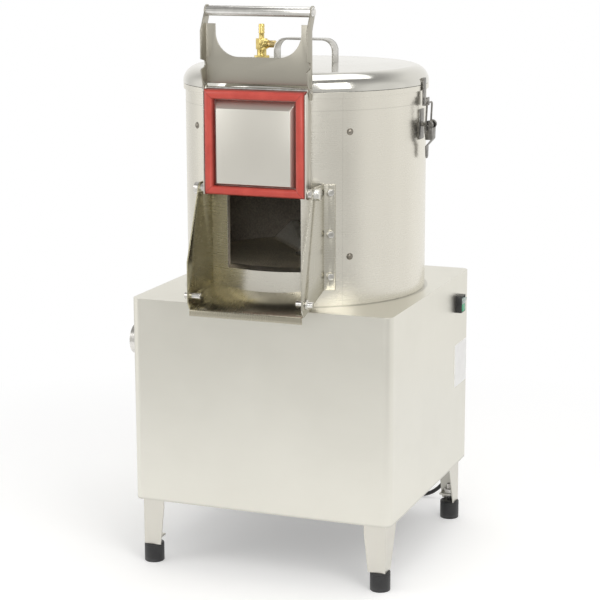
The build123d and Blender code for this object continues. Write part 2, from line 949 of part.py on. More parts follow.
def door_pan():
    """The door's pressed pan: its back, two side flanges and the ears for the rod."""
    ear_back = rod_y - rod_ear_set_back
    side = flat(
        [
            (-door_flange_reach, door_bottom),
            (-door_pan_back, door_bottom),
            (-door_pan_back, rod_height - door_back_drop),
            (ear_back, rod_height - rod_ear_drop),
            (ear_back, rod_height),
            (-door_flange_reach, rod_height - rod_ear_radius),
        ]
    )
    side += disc_face(door_ear_radius, door_pivot_y, door_pivot_height)
    side += disc_face(rod_ear_radius, rod_y, rod_height)
    flange = side_plate(side, (door_flange_inner, door_flange_outer))
    across = (-door_flange_outer, door_flange_outer)
    inner_back = -door_pan_back - door_pan_thickness
    back_top = rod_height - door_back_drop
    pan = flange + mirrored(flange)
    pan += block(across, (inner_back, -door_pan_back), (door_bottom, back_top))
    bottom_z = (door_bottom, door_bottom + door_pan_thickness)
    pan += block(across, (door_pivot_y, -door_pan_back), bottom_z)
    through = (-door_flange_outer - overrun, door_flange_outer + overrun)
    pan -= rod_x(rod_radius + turning_gap, through, rod_y, rod_height)
    return pan - rod_x(pivot_bolt_radius + turning_gap, through, door_pivot_y, door_pivot_height)


def door_plug():
    """The bevelled panel that fills the opening when the door is shut."""
    front = -gasket_front
    plate = (-gasket_back, -gasket_back + plug_plate_thickness)
    top = rod_height - rod_radius - moving_gap

    def frustum(inset, start, end):
        half = plug_base_half_width - inset
        low = plug_base_bottom + inset
        high = plug_base_top - inset
        base = flat([(-half, low), (half, low), (half, high), (-half, high)])
        half -= plug_bevel_side
        low += plug_bevel_bottom
        high -= plug_bevel_top
        face = flat([(-half, low), (half, low), (half, high), (-half, high)])
        near = Plane((0, start, 0), x_dir=(1, 0, 0), z_dir=(0, -1, 0))
        far = Plane((0, end, 0), x_dir=(1, 0, 0), z_dir=(0, -1, 0))
        return loft([near * base, far * face], ruled=True)

    plug = frustum(0, plate[0], front)
    plug -= frustum(plug_sheet, plate[0], front + plug_sheet)
    hole = block(
        (-plug_base_half_width + plug_sheet, plug_base_half_width - plug_sheet),
        (plate[0] - plug_sheet, plate[1] + overrun),
        (plug_base_bottom + plug_sheet, plug_base_top - plug_sheet),
    )
    across = (-door_flange_inner, door_flange_inner)
    sheet_z = (door_pivot_height, top)
    cut = rod_x(pivot_bolt_radius + moving_gap, across, door_pivot_y, door_pivot_height)
    return plug + (block(across, plate, sheet_z) - hole) - cut


def door_gasket():
    """The rubber frame round the plug, mitred at its corners."""
    z = (door_bottom, gasket_top)
    y = (-gasket_front, -gasket_back)
    outer = block((-gasket_half_width, gasket_half_width), y, z)
    front_edges = outer.faces().sort_by(Axis.Y)[0].edges()
    outer = fillet(front_edges, gasket_round)
    inner_half = gasket_half_width - gasket_strip
    through = (y[0] - overrun, y[1] + overrun)
    window_z = (z[0] + gasket_bottom_strip, z[1] - gasket_strip)
    return outer - block((-inner_half, inner_half), through, window_z)


def lever_rod():
    """The rod through the door's ears that the locking lever swings on."""
    reach = lever_half_width + moving_gap
    rod = rod_x(rod_radius, (-reach, reach), rod_y, rod_height)
    head = (reach, reach + rod_head_thickness)
    rod += rod_x(rod_head_radius, head, rod_y, rod_height)
    rod += rod_x(rod_head_radius, (-head[0], -head[1]), rod_y, rod_height)
    return rod


def lever_notch():
    """The hooked notch of the lever's flange: the pin's own path about the rod, flared above."""
    radius = latch_pin_radius + notch_gap
    mouth = -lever_reach - overrun
    slot = disc_face(radius, notch_y, notch_height)
    ring = disc_face(notch_reach + radius, rod_y, rod_height)
    ring -= disc_face(notch_reach - radius, rod_y, rod_height)
    window = flat(
        [
            (mouth, rod_height),
            (notch_y, rod_height),
            (notch_y, notch_height + radius),
            (mouth, notch_height + radius),
        ]
    )
    slot += ring & window
    slot += flat(
        [
            (notch_y, notch_height),
            (notch_y, notch_height + radius),
            (mouth, notch_height + notch_mouth_rise),
            (mouth, notch_height - radius),
        ]
    )
    return slot


def locking_lever():
    """The channel-shaped lever: two notched flanges, a web and a cut-out for the hand."""
    outline = flat(
        [
            (rod_y + lever_tail_set_back, rod_height - lever_tail_length),
            (rod_y - lever_rod_front_wall, rod_height),
            (-lever_reach, rod_height + lever_taper_length),
            (-lever_reach, bar_height - lever_shoulder_drop),
            (bar_y - bar_ear_radius, bar_height - bar_wall),
            (bar_y + bar_ear_radius, bar_height - bar_wall),
            (-lever_back, bar_height - lever_back_shoulder_drop),
            (-lever_back, rod_height - lever_tail_length),
        ],
        ((0, lever_tail_round), (7, lever_tail_round)),
    )
    outline += disc_face(bar_ear_radius, bar_y, bar_height)
    inner = lever_half_width - lever_thickness
    flange = side_plate(outline, (inner, lever_half_width))
    flange -= side_plate(lever_notch(), (inner - overrun, lever_half_width + overrun))
    web_top = bar_height - web_top_drop
    cut_bottom = web_top - web_cut_depth
    cut = flat(
        [
            (-web_cut_half_width, cut_bottom),
            (web_cut_half_width, cut_bottom),
            (web_cut_half_width, web_top + overrun),
            (-web_cut_half_width, web_top + overrun),
        ],
        ((0, web_cut_corner), (1, web_cut_corner)),
    )
    web_y = (-lever_back - lever_thickness, -lever_back)
    web = block((-inner, inner), web_y, (rod_height + web_above_rod, web_top))
    web -= front_plate(cut, (web_y[0] - overrun, web_y[1] + overrun))
    lever = flange + mirrored(flange) + web
    through = (-lever_half_width - overrun, lever_half_width + overrun)
    lever -= rod_x(rod_radius + turning_gap, through, rod_y, rod_height)
    return lever - rod_x(bar_radius, through, bar_y, bar_height)


def lever_handle_bar():
    """The round tube that the hand pulls, closed at its ends by domes."""
    end = lever_half_width + bar_end_length
    dome_radius = (bar_radius**2 + bar_end_length**2) / (2 * bar_end_length)
    profile = Polygon((-end, 0), (-end, bar_radius), (end, bar_radius), (end, 0), align=None)
    dome = Pos(end - dome_radius, 0) * Circle(dome_radius)
    middle = Polygon(
        (-lever_half_width, 0),
        (-lever_half_width, bar_radius),
        (lever_half_width, bar_radius),
        (lever_half_width, 0),
        align=None,
    )
    half = middle + (profile & dome & Pos(end, 0) * Rectangle(2 * bar_end_length, 2 * bar_radius))
    half += mirror(half, about=Plane.YZ)
    bar = revolve(half, Axis.X)
    bar = Pos(0, bar_y, bar_height) * bar
    return bar - rod_x(bar_radius - bar_wall, (-lever_half_width, lever_half_width), bar_y, bar_height)


# Lid


def lid_solid(inset):
    """The lid's outer form, or its hollow when an inset is given."""
    radius = lid_radius - inset
    shoulder = lid_radius - lid_shoulder_width
    shoulder_top = lid_skirt_top + lid_shoulder_height
    bottom = lid_skirt_bottom - (overrun if inset else 0)
    half_turn_share = math.sqrt(0.5)
    side_line = Line((radius, bottom), (radius, lid_skirt_top))
    bend_x = shoulder + (radius - shoulder) * half_turn_share
    bend_z = lid_skirt_top + (shoulder_top - inset - lid_skirt_top) * half_turn_share
    bend = ThreePointArc((radius, lid_skirt_top), (bend_x, bend_z), (shoulder, shoulder_top - inset))
    crown_z = (shoulder_top + 3 * lid_apex) / 4 - inset
    crown = ThreePointArc((shoulder, shoulder_top - inset), (shoulder / 2, crown_z), (0, lid_apex - inset))
    axis = Line((0, lid_apex - inset), (0, bottom))
    base = Line((0, bottom), (radius, bottom))
    face = make_face(Curve() + [side_line, bend, crown, axis, base])
    return revolve(Plane.XZ * face, Axis.Z)


def lid_shell():
    """The domed lid with its short skirt."""
    shell = lid_solid(0) - lid_solid(lid_sheet)
    return shell - post(valve_neck_radius, (lid_skirt_top, lid_apex + overrun), valve_x, valve_y)


def lid_seal():
    """The rubber ring inside the lid's skirt that rests on the drum's rim."""
    outer = lid_radius - lid_sheet
    return tube(outer, outer - seal_width, (seal_bottom, seal_top))


def lid_handle():
    """The bent strip handle on the crown of the lid."""
    reach = lid_handle_width / 2
    inner = reach - lid_handle_thickness
    base = lid_skirt_top
    top = lid_handle_top
    outer_face = flat(
        [(-reach, base), (reach, base), (reach, top), (-reach, top)],
        ((2, lid_handle_corner), (3, lid_handle_corner)),
    )
    low = base - overrun
    inner_corner = lid_handle_corner - lid_handle_thickness
    inner_top = top - lid_handle_thickness
    inner_face = flat(
        [(-inner, low), (inner, low), (inner, inner_top), (-inner, inner_top)],
        ((2, inner_corner), (3, inner_corner)),
    )
    handle = front_plate(outer_face - inner_face, (-lid_handle_strip / 2, lid_handle_strip / 2))
    return handle - lid_solid(0)


def hinge_sides():
    """The two places along X of the lid's hinges."""
    return (-lid_hinge_x, lid_hinge_x)


def lid_hinge_brackets():
    """The hinge brackets on the drum, each with two ears and a pad."""
    brackets = []
    ear_inner = lid_knuckle_half_width + moving_gap
    ear_outer = ear_inner + lid_hinge_ear
    core = post(drum_radius, (cabinet_top, rim_bottom)) + post(rim_radius, (rim_bottom, rim_top))
    core += post(lid_radius + 2 * moving_gap, (rim_top, lid_apex))
    for x in hinge_sides():
        outer = post(drum_radius + lid_hinge_pad_thickness, (lid_hinge_pad_bottom, rim_bottom))
        pad = outer - post(drum_radius, (cabinet_top, rim_top))
        pad_x = (x - ear_outer, x + ear_outer)
        pad &= block(pad_x, (0, drum_radius * 2), (lid_hinge_pad_bottom, rim_bottom))
        ears = []
        for side in (-1, 1):
            ear = flat(
                [
                    (drum_radius / 2, lid_hinge_pad_bottom + lid_knuckle_radius),
                    (drum_radius, lid_hinge_pad_bottom + lid_knuckle_radius),
                    (lid_hinge_y + lid_knuckle_radius, lid_hinge_height),
                    (drum_radius / 2, lid_hinge_height),
                ]
            )
            ear += disc_face(lid_knuckle_radius, lid_hinge_y, lid_hinge_height)
            reach = (x + side * ear_inner, x + side * ear_outer)
            ears.append(side_plate(ear, reach) - core)
        bracket = pad + ears[0] + ears[1]
        through = (x - ear_outer - overrun, x + ear_outer + overrun)
        brackets.append(bracket - rod_x(lid_hinge_pin_radius, through, lid_hinge_y, lid_hinge_height))
    return group(*brackets)


def lid_hinge_arms():
    """The hinge arms on the lid, each ending in a knuckle."""
    arms = []
    for x in hinge_sides():
        reach = (x - lid_knuckle_half_width, x + lid_knuckle_half_width)
        half = lid_hinge_arm_thickness / 2
        inner_y = lid_hinge_y - lid_hinge_arm_reach
        arm = block(reach, (inner_y, lid_hinge_y), (lid_hinge_height - half, lid_hinge_height + half))
        arm += rod_x(lid_knuckle_radius, reach, lid_hinge_y, lid_hinge_height)
        bore = rod_x(lid_hinge_pin_radius + turning_gap, reach, lid_hinge_y, lid_hinge_height)
        arms.append(arm - bore - lid_solid(0))
    return group(*arms)


def lid_hinge_pins():
    """The hinge pins, riveted in the brackets' ears."""
    reach = lid_knuckle_half_width + moving_gap + lid_hinge_ear
    return group(
        *[
            rod_x(lid_hinge_pin_radius, (x - reach, x + reach), lid_hinge_y, lid_hinge_height)
            for x in hinge_sides()
        ]
    )


# Toggle latch


def latch_catch():
    """The hook on the lid that the wire bail pulls down."""
    inner = rim_radius + catch_drum_gap
    outer = inner + catch_reach
    half = (-catch_half_width, catch_half_width)
    hook = block((inner, inner + catch_thickness), half, (catch_bottom, catch_head_top))
    hook += block((inner, outer), half, (catch_bottom, catch_bottom + catch_thickness))
    hook += block((outer - catch_thickness, outer), half, (catch_bottom, catch_lip_top))
    head_x = (lid_radius - catch_reach, inner + catch_thickness)
    head = block(head_x, half, (lid_skirt_bottom, catch_head_top))
    return (hook + head) - lid_solid(0)


def latch_base():
    """The latch's pad on the drum, with two ears and the pivot pin."""
    core = post(drum_radius, (cabinet_top, rim_bottom))
    pad = post(drum_radius + latch_pad_thickness, (latch_pad_bottom, latch_pad_top)) - core
    pad_y = (-latch_pad_half_width, latch_pad_half_width)
    pad &= block((0, drum_radius * 2), pad_y, (latch_pad_bottom, latch_pad_top))
    low = latch_pivot_height - latch_ear_radius
    high = latch_pivot_height + latch_ear_radius
    base = pad
    for side in (-1, 1):
        reach = (side * latch_ear_inner, side * (latch_ear_inner + latch_ear_thickness))
        ear = block((drum_radius / 2, latch_pivot_x), reach, (low, high)) - core
        ear += rod_y_way(latch_ear_radius, latch_pivot_x, reach, latch_pivot_height)
        base += ear
    pin_reach = latch_cheek_inner + latch_cheek_thickness
    pin_y = (-pin_reach, pin_reach)
    return base + rod_y_way(latch_pin_core_radius, latch_pivot_x, pin_y, latch_pivot_height)


def latch_lever():
    """The tapered toggle lever: two cheeks on the pivot and a web that ends in a tongue."""
    web_x = latch_pivot_x + latch_web_offset
    web_top_z = latch_pivot_height - latch_web_top_drop
    straight_z = web_top_z - latch_web_straight
    tongue_z = latch_tip_height + latch_tongue_length
    strip = flat(
        [
            (web_x, web_top_z),
            (web_x + latch_web_thickness, web_top_z),
            (web_x + latch_web_thickness, straight_z),
            (latch_tip_x + latch_web_thickness, tongue_z),
            (latch_tip_x + latch_web_thickness, latch_tip_height),
            (latch_tip_x, latch_tip_height),
            (latch_tip_x, tongue_z),
            (web_x, straight_z),
        ]
    )
    outer = latch_cheek_inner + latch_cheek_thickness
    web = front_plate(strip, (-outer, outer))
    tip_z = latch_tip_height + latch_tip_half_width
    tip = latch_tip_half_width
    plan = flat([(-outer, web_top_z), (outer, web_top_z), (tip, tip_z), (-tip, tip_z)])
    plan += disc_face(latch_tip_half_width, 0, tip_z)
    web &= side_plate(plan, (drum_radius, latch_pivot_x + latch_cheek_radius * 2))
    cheek_face = flat(
        [
            (latch_link_x - latch_cheek_radius / 2, latch_pivot_height),
            (latch_link_x - latch_cheek_radius / 2, latch_link_height - latch_cheek_radius / 2),
            (latch_tip_x + latch_web_thickness, tongue_z),
            (web_x + latch_web_thickness, straight_z),
            (web_x + latch_web_thickness, latch_pivot_height),
        ]
    )
    cheek_face += Pos(latch_pivot_x, latch_pivot_height) * Circle(latch_cheek_radius)
    cheek = front_plate(cheek_face, (latch_cheek_inner, outer))
    cheek &= side_plate(plan, (drum_radius, latch_pivot_x + latch_cheek_radius * 2)) + block(
        (drum_radius, latch_pivot_x + latch_cheek_radius * 2),
        (-outer, outer),
        (web_top_z, latch_pivot_height + latch_cheek_radius),
    )
    lever = web + cheek + mirror(cheek, about=Plane.XZ)
    through = (-outer - overrun, outer + overrun)
    lever -= rod_y_way(latch_pin_core_radius + turning_gap, latch_pivot_x, through, latch_pivot_height)
    return lever - rod_y_way(bail_wire_radius + turning_gap, latch_link_x, through, latch_link_height)


def latch_bail():
    """The wire loop from the lever up to the lid's catch, standing clear of it."""
    lower = (latch_link_x, latch_link_height)
    upper = (bail_top_x, bail_top_height)
    inner = latch_cheek_inner - moving_gap
    path = FilletPolyline(
        (lower[0], -inner, lower[1]),
        (lower[0], -bail_half_width, lower[1]),
        (upper[0], -bail_half_width, upper[1]),
        (upper[0], bail_half_width, upper[1]),
        (lower[0], bail_half_width, lower[1]),
        (lower[0], inner, lower[1]),
        radius=[bail_wire_radius * 2, bail_wire_radius * 3, bail_wire_radius * 3, bail_wire_radius * 2],
    )
    start = Plane((lower[0], -inner, lower[1]), z_dir=(0, -1, 0))
    return sweep(start * Circle(bail_wire_radius), path=path)


# Water valve


def valve_body():
    """The brass cock on the lid: nut, neck, hexagon body, spindle boss and barbed tail."""
    body_mid = (valve_body_bottom + valve_body_top) / 2
    nut = Pos(valve_x, valve_y, lid_skirt_top) * hex_prism(valve_nut_flats, valve_nut_top - lid_skirt_top)
    body = nut - lid_solid(0)
    body += post(valve_neck_radius, (lid_skirt_top + lid_sheet, valve_body_bottom), valve_x, valve_y) - (
        lid_solid(lid_sheet)
    )
    turned_hex = Pos(valve_x, valve_y, valve_body_bottom) * Rot(0, 0, 30)
    body += turned_hex * hex_prism(valve_body_flats, valve_body_top - valve_body_bottom)
    tail = [(valve_bore_radius, valve_body_top), (valve_tail_radius, valve_body_top)]
    barb_base = valve_tail_top - valve_barb_count * valve_barb_pitch
    tail.append((valve_tail_radius, barb_base))
    for number in range(valve_barb_count):
        low = barb_base + number * valve_barb_pitch
        tail.append((valve_barb_radius, low))
        tail.append((valve_tail_radius, low + valve_barb_pitch))
    tail.append((valve_bore_radius, valve_tail_top))
    body += Pos(valve_x, valve_y, 0) * turned(tail)
    body += rod_x(valve_boss_radius, (valve_x, valve_x + valve_boss_reach), valve_y, body_mid)
    body -= post(valve_bore_radius, (lid_skirt_top, valve_tail_top + overrun), valve_x, valve_y)
    stem = (valve_x + valve_boss_reach - valve_stem_depth, valve_x + valve_boss_reach + overrun)
    return body - rod_x(valve_stem_radius + turning_gap, stem, valve_y, body_mid)


def valve_spindle():
    """The slotted spindle that opens the water valve."""
    body_mid = (valve_body_bottom + valve_body_top) / 2
    face = valve_x + valve_boss_reach
    stem = (face - valve_stem_depth + moving_gap, face + moving_gap)
    knob = (face + moving_gap, face + moving_gap + valve_knob_length)
    spindle = rod_x(valve_stem_radius, stem, valve_y, body_mid)
    spindle += rod_x(valve_knob_radius, knob, valve_y, body_mid)
    half = valve_slot_width / 2
    across = (valve_y - valve_knob_radius - overrun, valve_y + valve_knob_radius + overrun)
    slot_x = (knob[1] - valve_slot_depth, knob[1] + overrun)
    return spindle - block(slot_x, across, (body_mid - half, body_mid + half))


# Disc and drive


def disc_cam():
    """One raised wedge of the disc, pointing to the front."""

    def section(radius, half, height):
        place = Plane((0, -radius, disc_top), x_dir=(1, 0, 0), z_dir=(0, -1, 0))
        points = [
            (-half, -disc_edge),
            (-half, 0),
            (-cam_ridge_half_width, height),
            (cam_ridge_half_width, height),
            (half, 0),
            (half, -disc_edge),
        ]
        return place * Polygon(*points, align=None)

    cam = loft(
        [
            section(cam_inner, cam_inner_half_width, cam_inner_height),
            section(cam_outer, cam_outer_half_width, cam_outer_height),
        ],
        ruled=True,
    )
    return cam & post(cam_outer, (disc_top - disc_edge, disc_top + cam_outer_height))


def peeling_disc():
    """The rough disc with two raised wedges that throws the potatoes against the liner."""
    underside = disc_top - disc_thickness
    disc = turned(
        [
            (shaft_radius, disc_hub_bottom),
            (disc_hub_radius, disc_hub_bottom),
            (disc_hub_radius, underside),
            (disc_radius - disc_edge, underside),
            (disc_radius, underside + disc_edge),
            (disc_radius, disc_top - disc_edge),
            (disc_radius - disc_edge, disc_top),
            (shaft_radius, disc_top),
        ]
    )
    return disc + Rot(0, 0, cam_angle - 180) * disc_cam() + Rot(0, 0, cam_angle) * disc_cam()


def disc_bolt():
    """The bolt and washer that hold the disc on the shaft."""
    washer = post(disc_washer_radius, (disc_top, disc_top + disc_washer_thickness))
    head = Pos(0, 0, disc_top + disc_washer_thickness) * hex_prism(disc_bolt_flats, disc_bolt_height)
    return washer + head


def drive_shaft():
    """The upright shaft from the driven pulley to the disc."""
    return post(shaft_radius, (shaft_bottom, disc_top))


def shaft_seal():
    """The lip seal round the shaft in the sump floor."""
    ring = post(seal_ring_radius, (bearing_plate_bottom, sump_floor_top + seal_ring_flange_height))
    ring += post(seal_ring_flange, (sump_floor_top, sump_floor_top + seal_ring_flange_height))
    return ring - post(shaft_radius + turning_gap, (bearing_plate_bottom - overrun, disc_hub_bottom))


def bearing_housing():
    """The cast housing of the shaft's two bearings."""
    top = bearing_plate_bottom
    bottom = bearing_housing_bottom
    return turned(
        [
            (bearing_radius, bottom),
            (bearing_housing_radius, bottom),
            (bearing_housing_radius, top - bearing_housing_flange_height),
            (bearing_housing_flange, top - bearing_housing_flange_height),
            (bearing_housing_flange, top),
            (bearing_radius, top),
            (bearing_radius, top - bearing_seat_depth),
            (bearing_bore_radius, top - bearing_seat_depth),
            (bearing_bore_radius, bottom + bearing_seat_depth),
            (bearing_radius, bottom + bearing_seat_depth),
        ]
    )


def shaft_bearings():
    """The two ball bearings, as plain rings."""
    bore = shaft_radius + turning_gap
    lower = bearing_housing_bottom + bearing_seat_depth
    upper = bearing_plate_bottom - bearing_seat_depth
    return group(
        tube(bearing_radius, bore, (lower - bearing_width, lower)),
        tube(bearing_radius, bore, (upper, upper + bearing_width)),
    )


def groove(pitch_radius, rim):
    """The ring that cuts a pulley's groove, wider than the belt by the belt gap."""
    inner = pitch_radius - belt_inside - belt_gap
    slope = (belt_outer_half_width - belt_inner_half_width) / (belt_outside + belt_inside)
    low = belt_inner_half_width + belt_gap - slope * belt_gap
    high = low + slope * (rim - inner + overrun)
    return turned(
        [
            (inner, belt_height - low),
            (rim + overrun, belt_height - high),
            (rim + overrun, belt_height + high),
            (inner, belt_height + low),
        ]
    )


def driven_pulley():
    """The large pulley on the shaft."""
    z = (pulley_bottom, pulley_bottom + pulley_width)
    pulley = post(pulley_rim_radius, z) + post(pulley_hub_radius, (pulley_bottom, pulley_hub_top))
    recess_outer = pulley_pitch_radius - belt_inside - belt_gap - pulley_rim_wall
    web_low = belt_height - pulley_web_thickness / 2
    web_high = belt_height + pulley_web_thickness / 2
    pulley -= tube(recess_outer, pulley_hub_radius, (z[0], web_low))
    pulley -= tube(recess_outer, pulley_hub_radius, (web_high, z[1]))
    pulley -= groove(pulley_pitch_radius, pulley_rim_radius)
    return pulley - post(shaft_radius, (shaft_bottom, pulley_hub_top + overrun))


def motor_pulley():
    """The small pulley with the motor's shaft."""
    z = (pulley_bottom, pulley_bottom + pulley_width)
    pulley = post(motor_pulley_rim_radius, z) - groove(motor_pitch_radius, motor_pulley_rim_radius)
    shaft_top = motor_bottom + motor_shaft_depth - moving_gap
    pulley += post(motor_shaft_radius, (pulley_bottom, shaft_top))
    return Pos(0, motor_y, 0) * pulley


def drive_belt():
    """The V-belt round both pulleys."""
    rise_share = (pulley_pitch_radius - motor_pitch_radius) / motor_y
    side_share = math.sqrt(1 - rise_share**2)
    big_x = pulley_pitch_radius * side_share
    big_y = pulley_pitch_radius * rise_share
    small_x = motor_pitch_radius * side_share
    small_y = motor_y + motor_pitch_radius * rise_share
    level = belt_height
    front = (0, -pulley_pitch_radius, level)
    rear = (0, motor_y + motor_pitch_radius, level)
    diagonal = pulley_pitch_radius * math.sqrt(0.5)
    path = Wire(
        [
            ThreePointArc(front, (diagonal, -diagonal, level), (big_x, big_y, level)).edge(),
            Line((big_x, big_y, level), (small_x, small_y, level)).edge(),
            ThreePointArc((small_x, small_y, level), rear, (-small_x, small_y, level)).edge(),
            Line((-small_x, small_y, level), (-big_x, big_y, level)).edge(),
            ThreePointArc((-big_x, big_y, level), (-diagonal, -diagonal, level), front).edge(),
        ]
    )
    section = Polygon(
        (-pulley_pitch_radius - belt_outside, level - belt_outer_half_width),
        (-pulley_pitch_radius - belt_outside, level + belt_outer_half_width),
        (-pulley_pitch_radius + belt_inside, level + belt_inner_half_width),
        (-pulley_pitch_radius + belt_inside, level - belt_inner_half_width),
        align=None,
    )
    return sweep(Plane.YZ * section, path=path)


def motor():
    """The finned electric motor, hung upright with its shaft downwards."""
    bell_low = motor_bottom + motor_bell_height
    bell_high = motor_top - motor_bell_height
    body = turned(
        [
            (0, motor_bottom),
            (motor_boss_radius, motor_bottom),
            (motor_boss_radius, motor_bottom + motor_boss_height),
            (motor_bell_radius, motor_bottom + motor_boss_height),
            (motor_radius - motor_fin_height, bell_low),
            (motor_radius - motor_fin_height, bell_high),
            (motor_bell_radius, motor_top),
            (0, motor_top),
        ]
    )
    fin = block(
        (-motor_fin_thickness / 2, motor_fin_thickness / 2),
        (motor_radius - motor_fin_height * 2, motor_radius),
        (bell_low, bell_high),
    )
    for number in range(motor_fin_count):
        body += Rot(0, 0, number * 360 / motor_fin_count) * fin
    foot = block(
        (-motor_foot_half_width, motor_foot_half_width),
        (bracket_y + bracket_thickness - motor_y, -motor_bell_radius / 2),
        (motor_foot_bottom, motor_foot_top),
    )
    body += foot
    shaft_z = (motor_bottom - overrun, motor_bottom + motor_shaft_depth)
    body -= post(motor_shaft_radius + turning_gap, shaft_z)
    return Pos(0, motor_y, 0) * body


def motor_bracket():
    """The bent plate that hangs the motor under the bearing plate."""
    x = (-bracket_half_width, bracket_half_width)
    plate = block(x, (bracket_y, bracket_y + bracket_thickness), (bracket_bottom, bearing_plate_bottom))
    flange_z = (bearing_plate_bottom - bracket_thickness, bearing_plate_bottom)
    return plate + block(x, (bracket_y, bracket_y + bracket_flange), flange_z)


# Electrics


def rating_plate():
    """The blank plate on the right wall."""
    return block(
        (half_width, half_width + plate_thickness),
        (plate_y - plate_half_width, plate_y + plate_half_width),
        (plate_height - plate_half_height, plate_height + plate_half_height),
    )


def switch_housing():
    """The rocker switch's case, through the right wall."""
    y = (switch_y - switch_half_depth, switch_y + switch_half_depth)
    z = (switch_height - switch_half_height, switch_height + switch_half_height)
    case = block((half_width, half_width + switch_reach), y, z)
    inner_y = switch_half_depth - switch_flange
    inner_z = switch_half_height - switch_flange
    case += block(
        (half_width - switch_body_depth, half_width),
        (switch_y - inner_y, switch_y + inner_y),
        (switch_height - inner_z, switch_height + inner_z),
    )
    room_y = switch_half_depth - switch_wall_y
    room_z = switch_half_height - switch_wall_z
    case -= block(
        (half_width - switch_body_depth / 2, half_width + switch_reach + overrun),
        (switch_y - room_y, switch_y + room_y),
        (switch_height - room_z, switch_height + room_z),
    )
    reach = rocker_half_width + rocker_trunnion_reach + moving_gap
    pivot_x = half_width + rocker_pivot_in
    trunnion = rocker_trunnion_radius + turning_gap
    return case - rod_y_way(trunnion, pivot_x, (switch_y - reach, switch_y + reach), switch_height)


def switch_rocker():
    """The rocker: pressed at the bottom, it stands tilted at rest."""
    pivot_x = half_width + rocker_pivot_in
    front = half_width + switch_reach + rocker_reach
    low = switch_height - rocker_half_height
    high = switch_height + rocker_half_height
    face = flat(
        [
            (pivot_x - rocker_back, switch_height - rocker_half_height / 2),
            (pivot_x, low),
            (front, low),
            (front - rocker_dish, switch_height),
            (front, high),
            (pivot_x, high),
            (pivot_x - rocker_back, switch_height + rocker_half_height / 2),
        ]
    )
    body = front_plate(face, (switch_y - rocker_half_width, switch_y + rocker_half_width))
    reach = rocker_half_width + rocker_trunnion_reach
    body += rod_y_way(rocker_trunnion_radius, pivot_x, (switch_y - reach, switch_y + reach), switch_height)
    pivot = Pos(pivot_x, switch_y, switch_height)
    return pivot * Rot(0, rocker_tilt / 2, 0) * pivot.inverse() * body


# Mains lead


def cable_gland():
    """The gland nut on the rear wall with its tapered strain relief."""
    place = seat((gland_x, half_depth, gland_height), (0, 1, 0))
    gland = place * hex_prism(gland_flats, gland_nut_height)
    taper_length = gland_reach - gland_nut_height
    centre = gland_nut_height + taper_length / 2
    gland += place * Pos(0, 0, centre) * Cone(gland_thread_radius, gland_end_radius, taper_length)
    inside = (sheet + gland_inside) / 2
    return gland + place * Pos(0, 0, -inside) * Cylinder(gland_thread_radius, 2 * inside)


coil_start = (coil_x + cord_diameter, coil_y - coil_radius, cord_radius)
lead_start = (gland_x, half_depth + gland_reach, gland_height)

# The lead's route from the gland down to the floor and along it to the coil behind the cabinet
lead_points = [
    lead_start,
    (gland_x, 282.0, gland_height),
    (176.0, 309.0, 100.0),
    (169.0, 303.0, 60.0),
    (159.0, 289.0, 27.0),
    (129.0, 284.0, cord_radius),
    (84.0, 286.0, cord_radius),
    (22.0, 293.0, cord_radius),
    (-20.0, coil_y - coil_radius, cord_radius),
    coil_start,
]


def bend_radii(points):
    """The largest arc each corner's two runs allow."""
    radii = []
    for before, corner, after in zip(points, points[1:], points[2:]):
        first = Vector(*corner) - Vector(*before)
        second = Vector(*after) - Vector(*corner)
        turn = math.radians(first.get_angle(second))
        radii.append(0.45 * min(first.length, second.length) / math.tan(turn / 2))
    return radii


def cord_run():
    """The free lead between the gland and the coil."""
    radii = bend_radii(lead_points)
    print("lead bend radii", [round(radius, 1) for radius in radii])
    path = FilletPolyline(*lead_points, radius=radii)
    run = sweep(Plane(lead_points[0], z_dir=(0, 1, 0)) * Circle(cord_radius), path=path)
    section = math.pi * cord_radius**2
    print("lead length", round(path.length, 1), "volume over section", round(run.volume / section, 1))
    return run


def coil_point(turn):
    """A place on the coil's centre line, counted in turns from its start."""
    layer = coil_layer_turns
    top = layer + coil_climb_turns
    inner = coil_radius - coil_pitch * layer
    rise = coil_pitch
    if turn <= layer:
        radius = coil_radius - coil_pitch * turn
        height = 0
    elif turn <= top:
        part = (turn - layer) / coil_climb_turns
        radius = inner - coil_pitch * coil_climb_turns * (part - part**2)
        height = rise * (3 * part**2 - 2 * part**3)
    else:
        radius = inner + coil_pitch * (turn - top)
        height = rise
    angle = -math.pi / 2 - 2 * math.pi * turn
    x = coil_x + radius * math.cos(angle)
    y = coil_y + radius * math.sin(angle)
    return Vector(x, y, cord_radius + height)


def coil_heading(turn, total):
    """The coil's direction at a place along it."""
    if turn == 0 or turn == total:
        return Vector(-1, 0, 0)
    small_share = 1e-4
    ahead = coil_point(turn + small_share) - coil_point(turn - small_share)
    return ahead.normalized()


def biarc(start, start_way, end, end_way):
    """Two tangent arcs between two places with given directions."""
    span = end - start
    ways = start_way + end_way
    spread = 2 * (1 - start_way.dot(end_way))
    along = span.dot(ways)
    reach = (-along + math.sqrt(along**2 + spread * span.dot(span))) / spread
    middle = (start + start_way * reach + end - end_way * reach) / 2
    first = Edge.make_tangent_arc(start, start_way, middle)
    second = Edge.make_tangent_arc(middle, first.tangent_at(1), end)
    return [first, second]


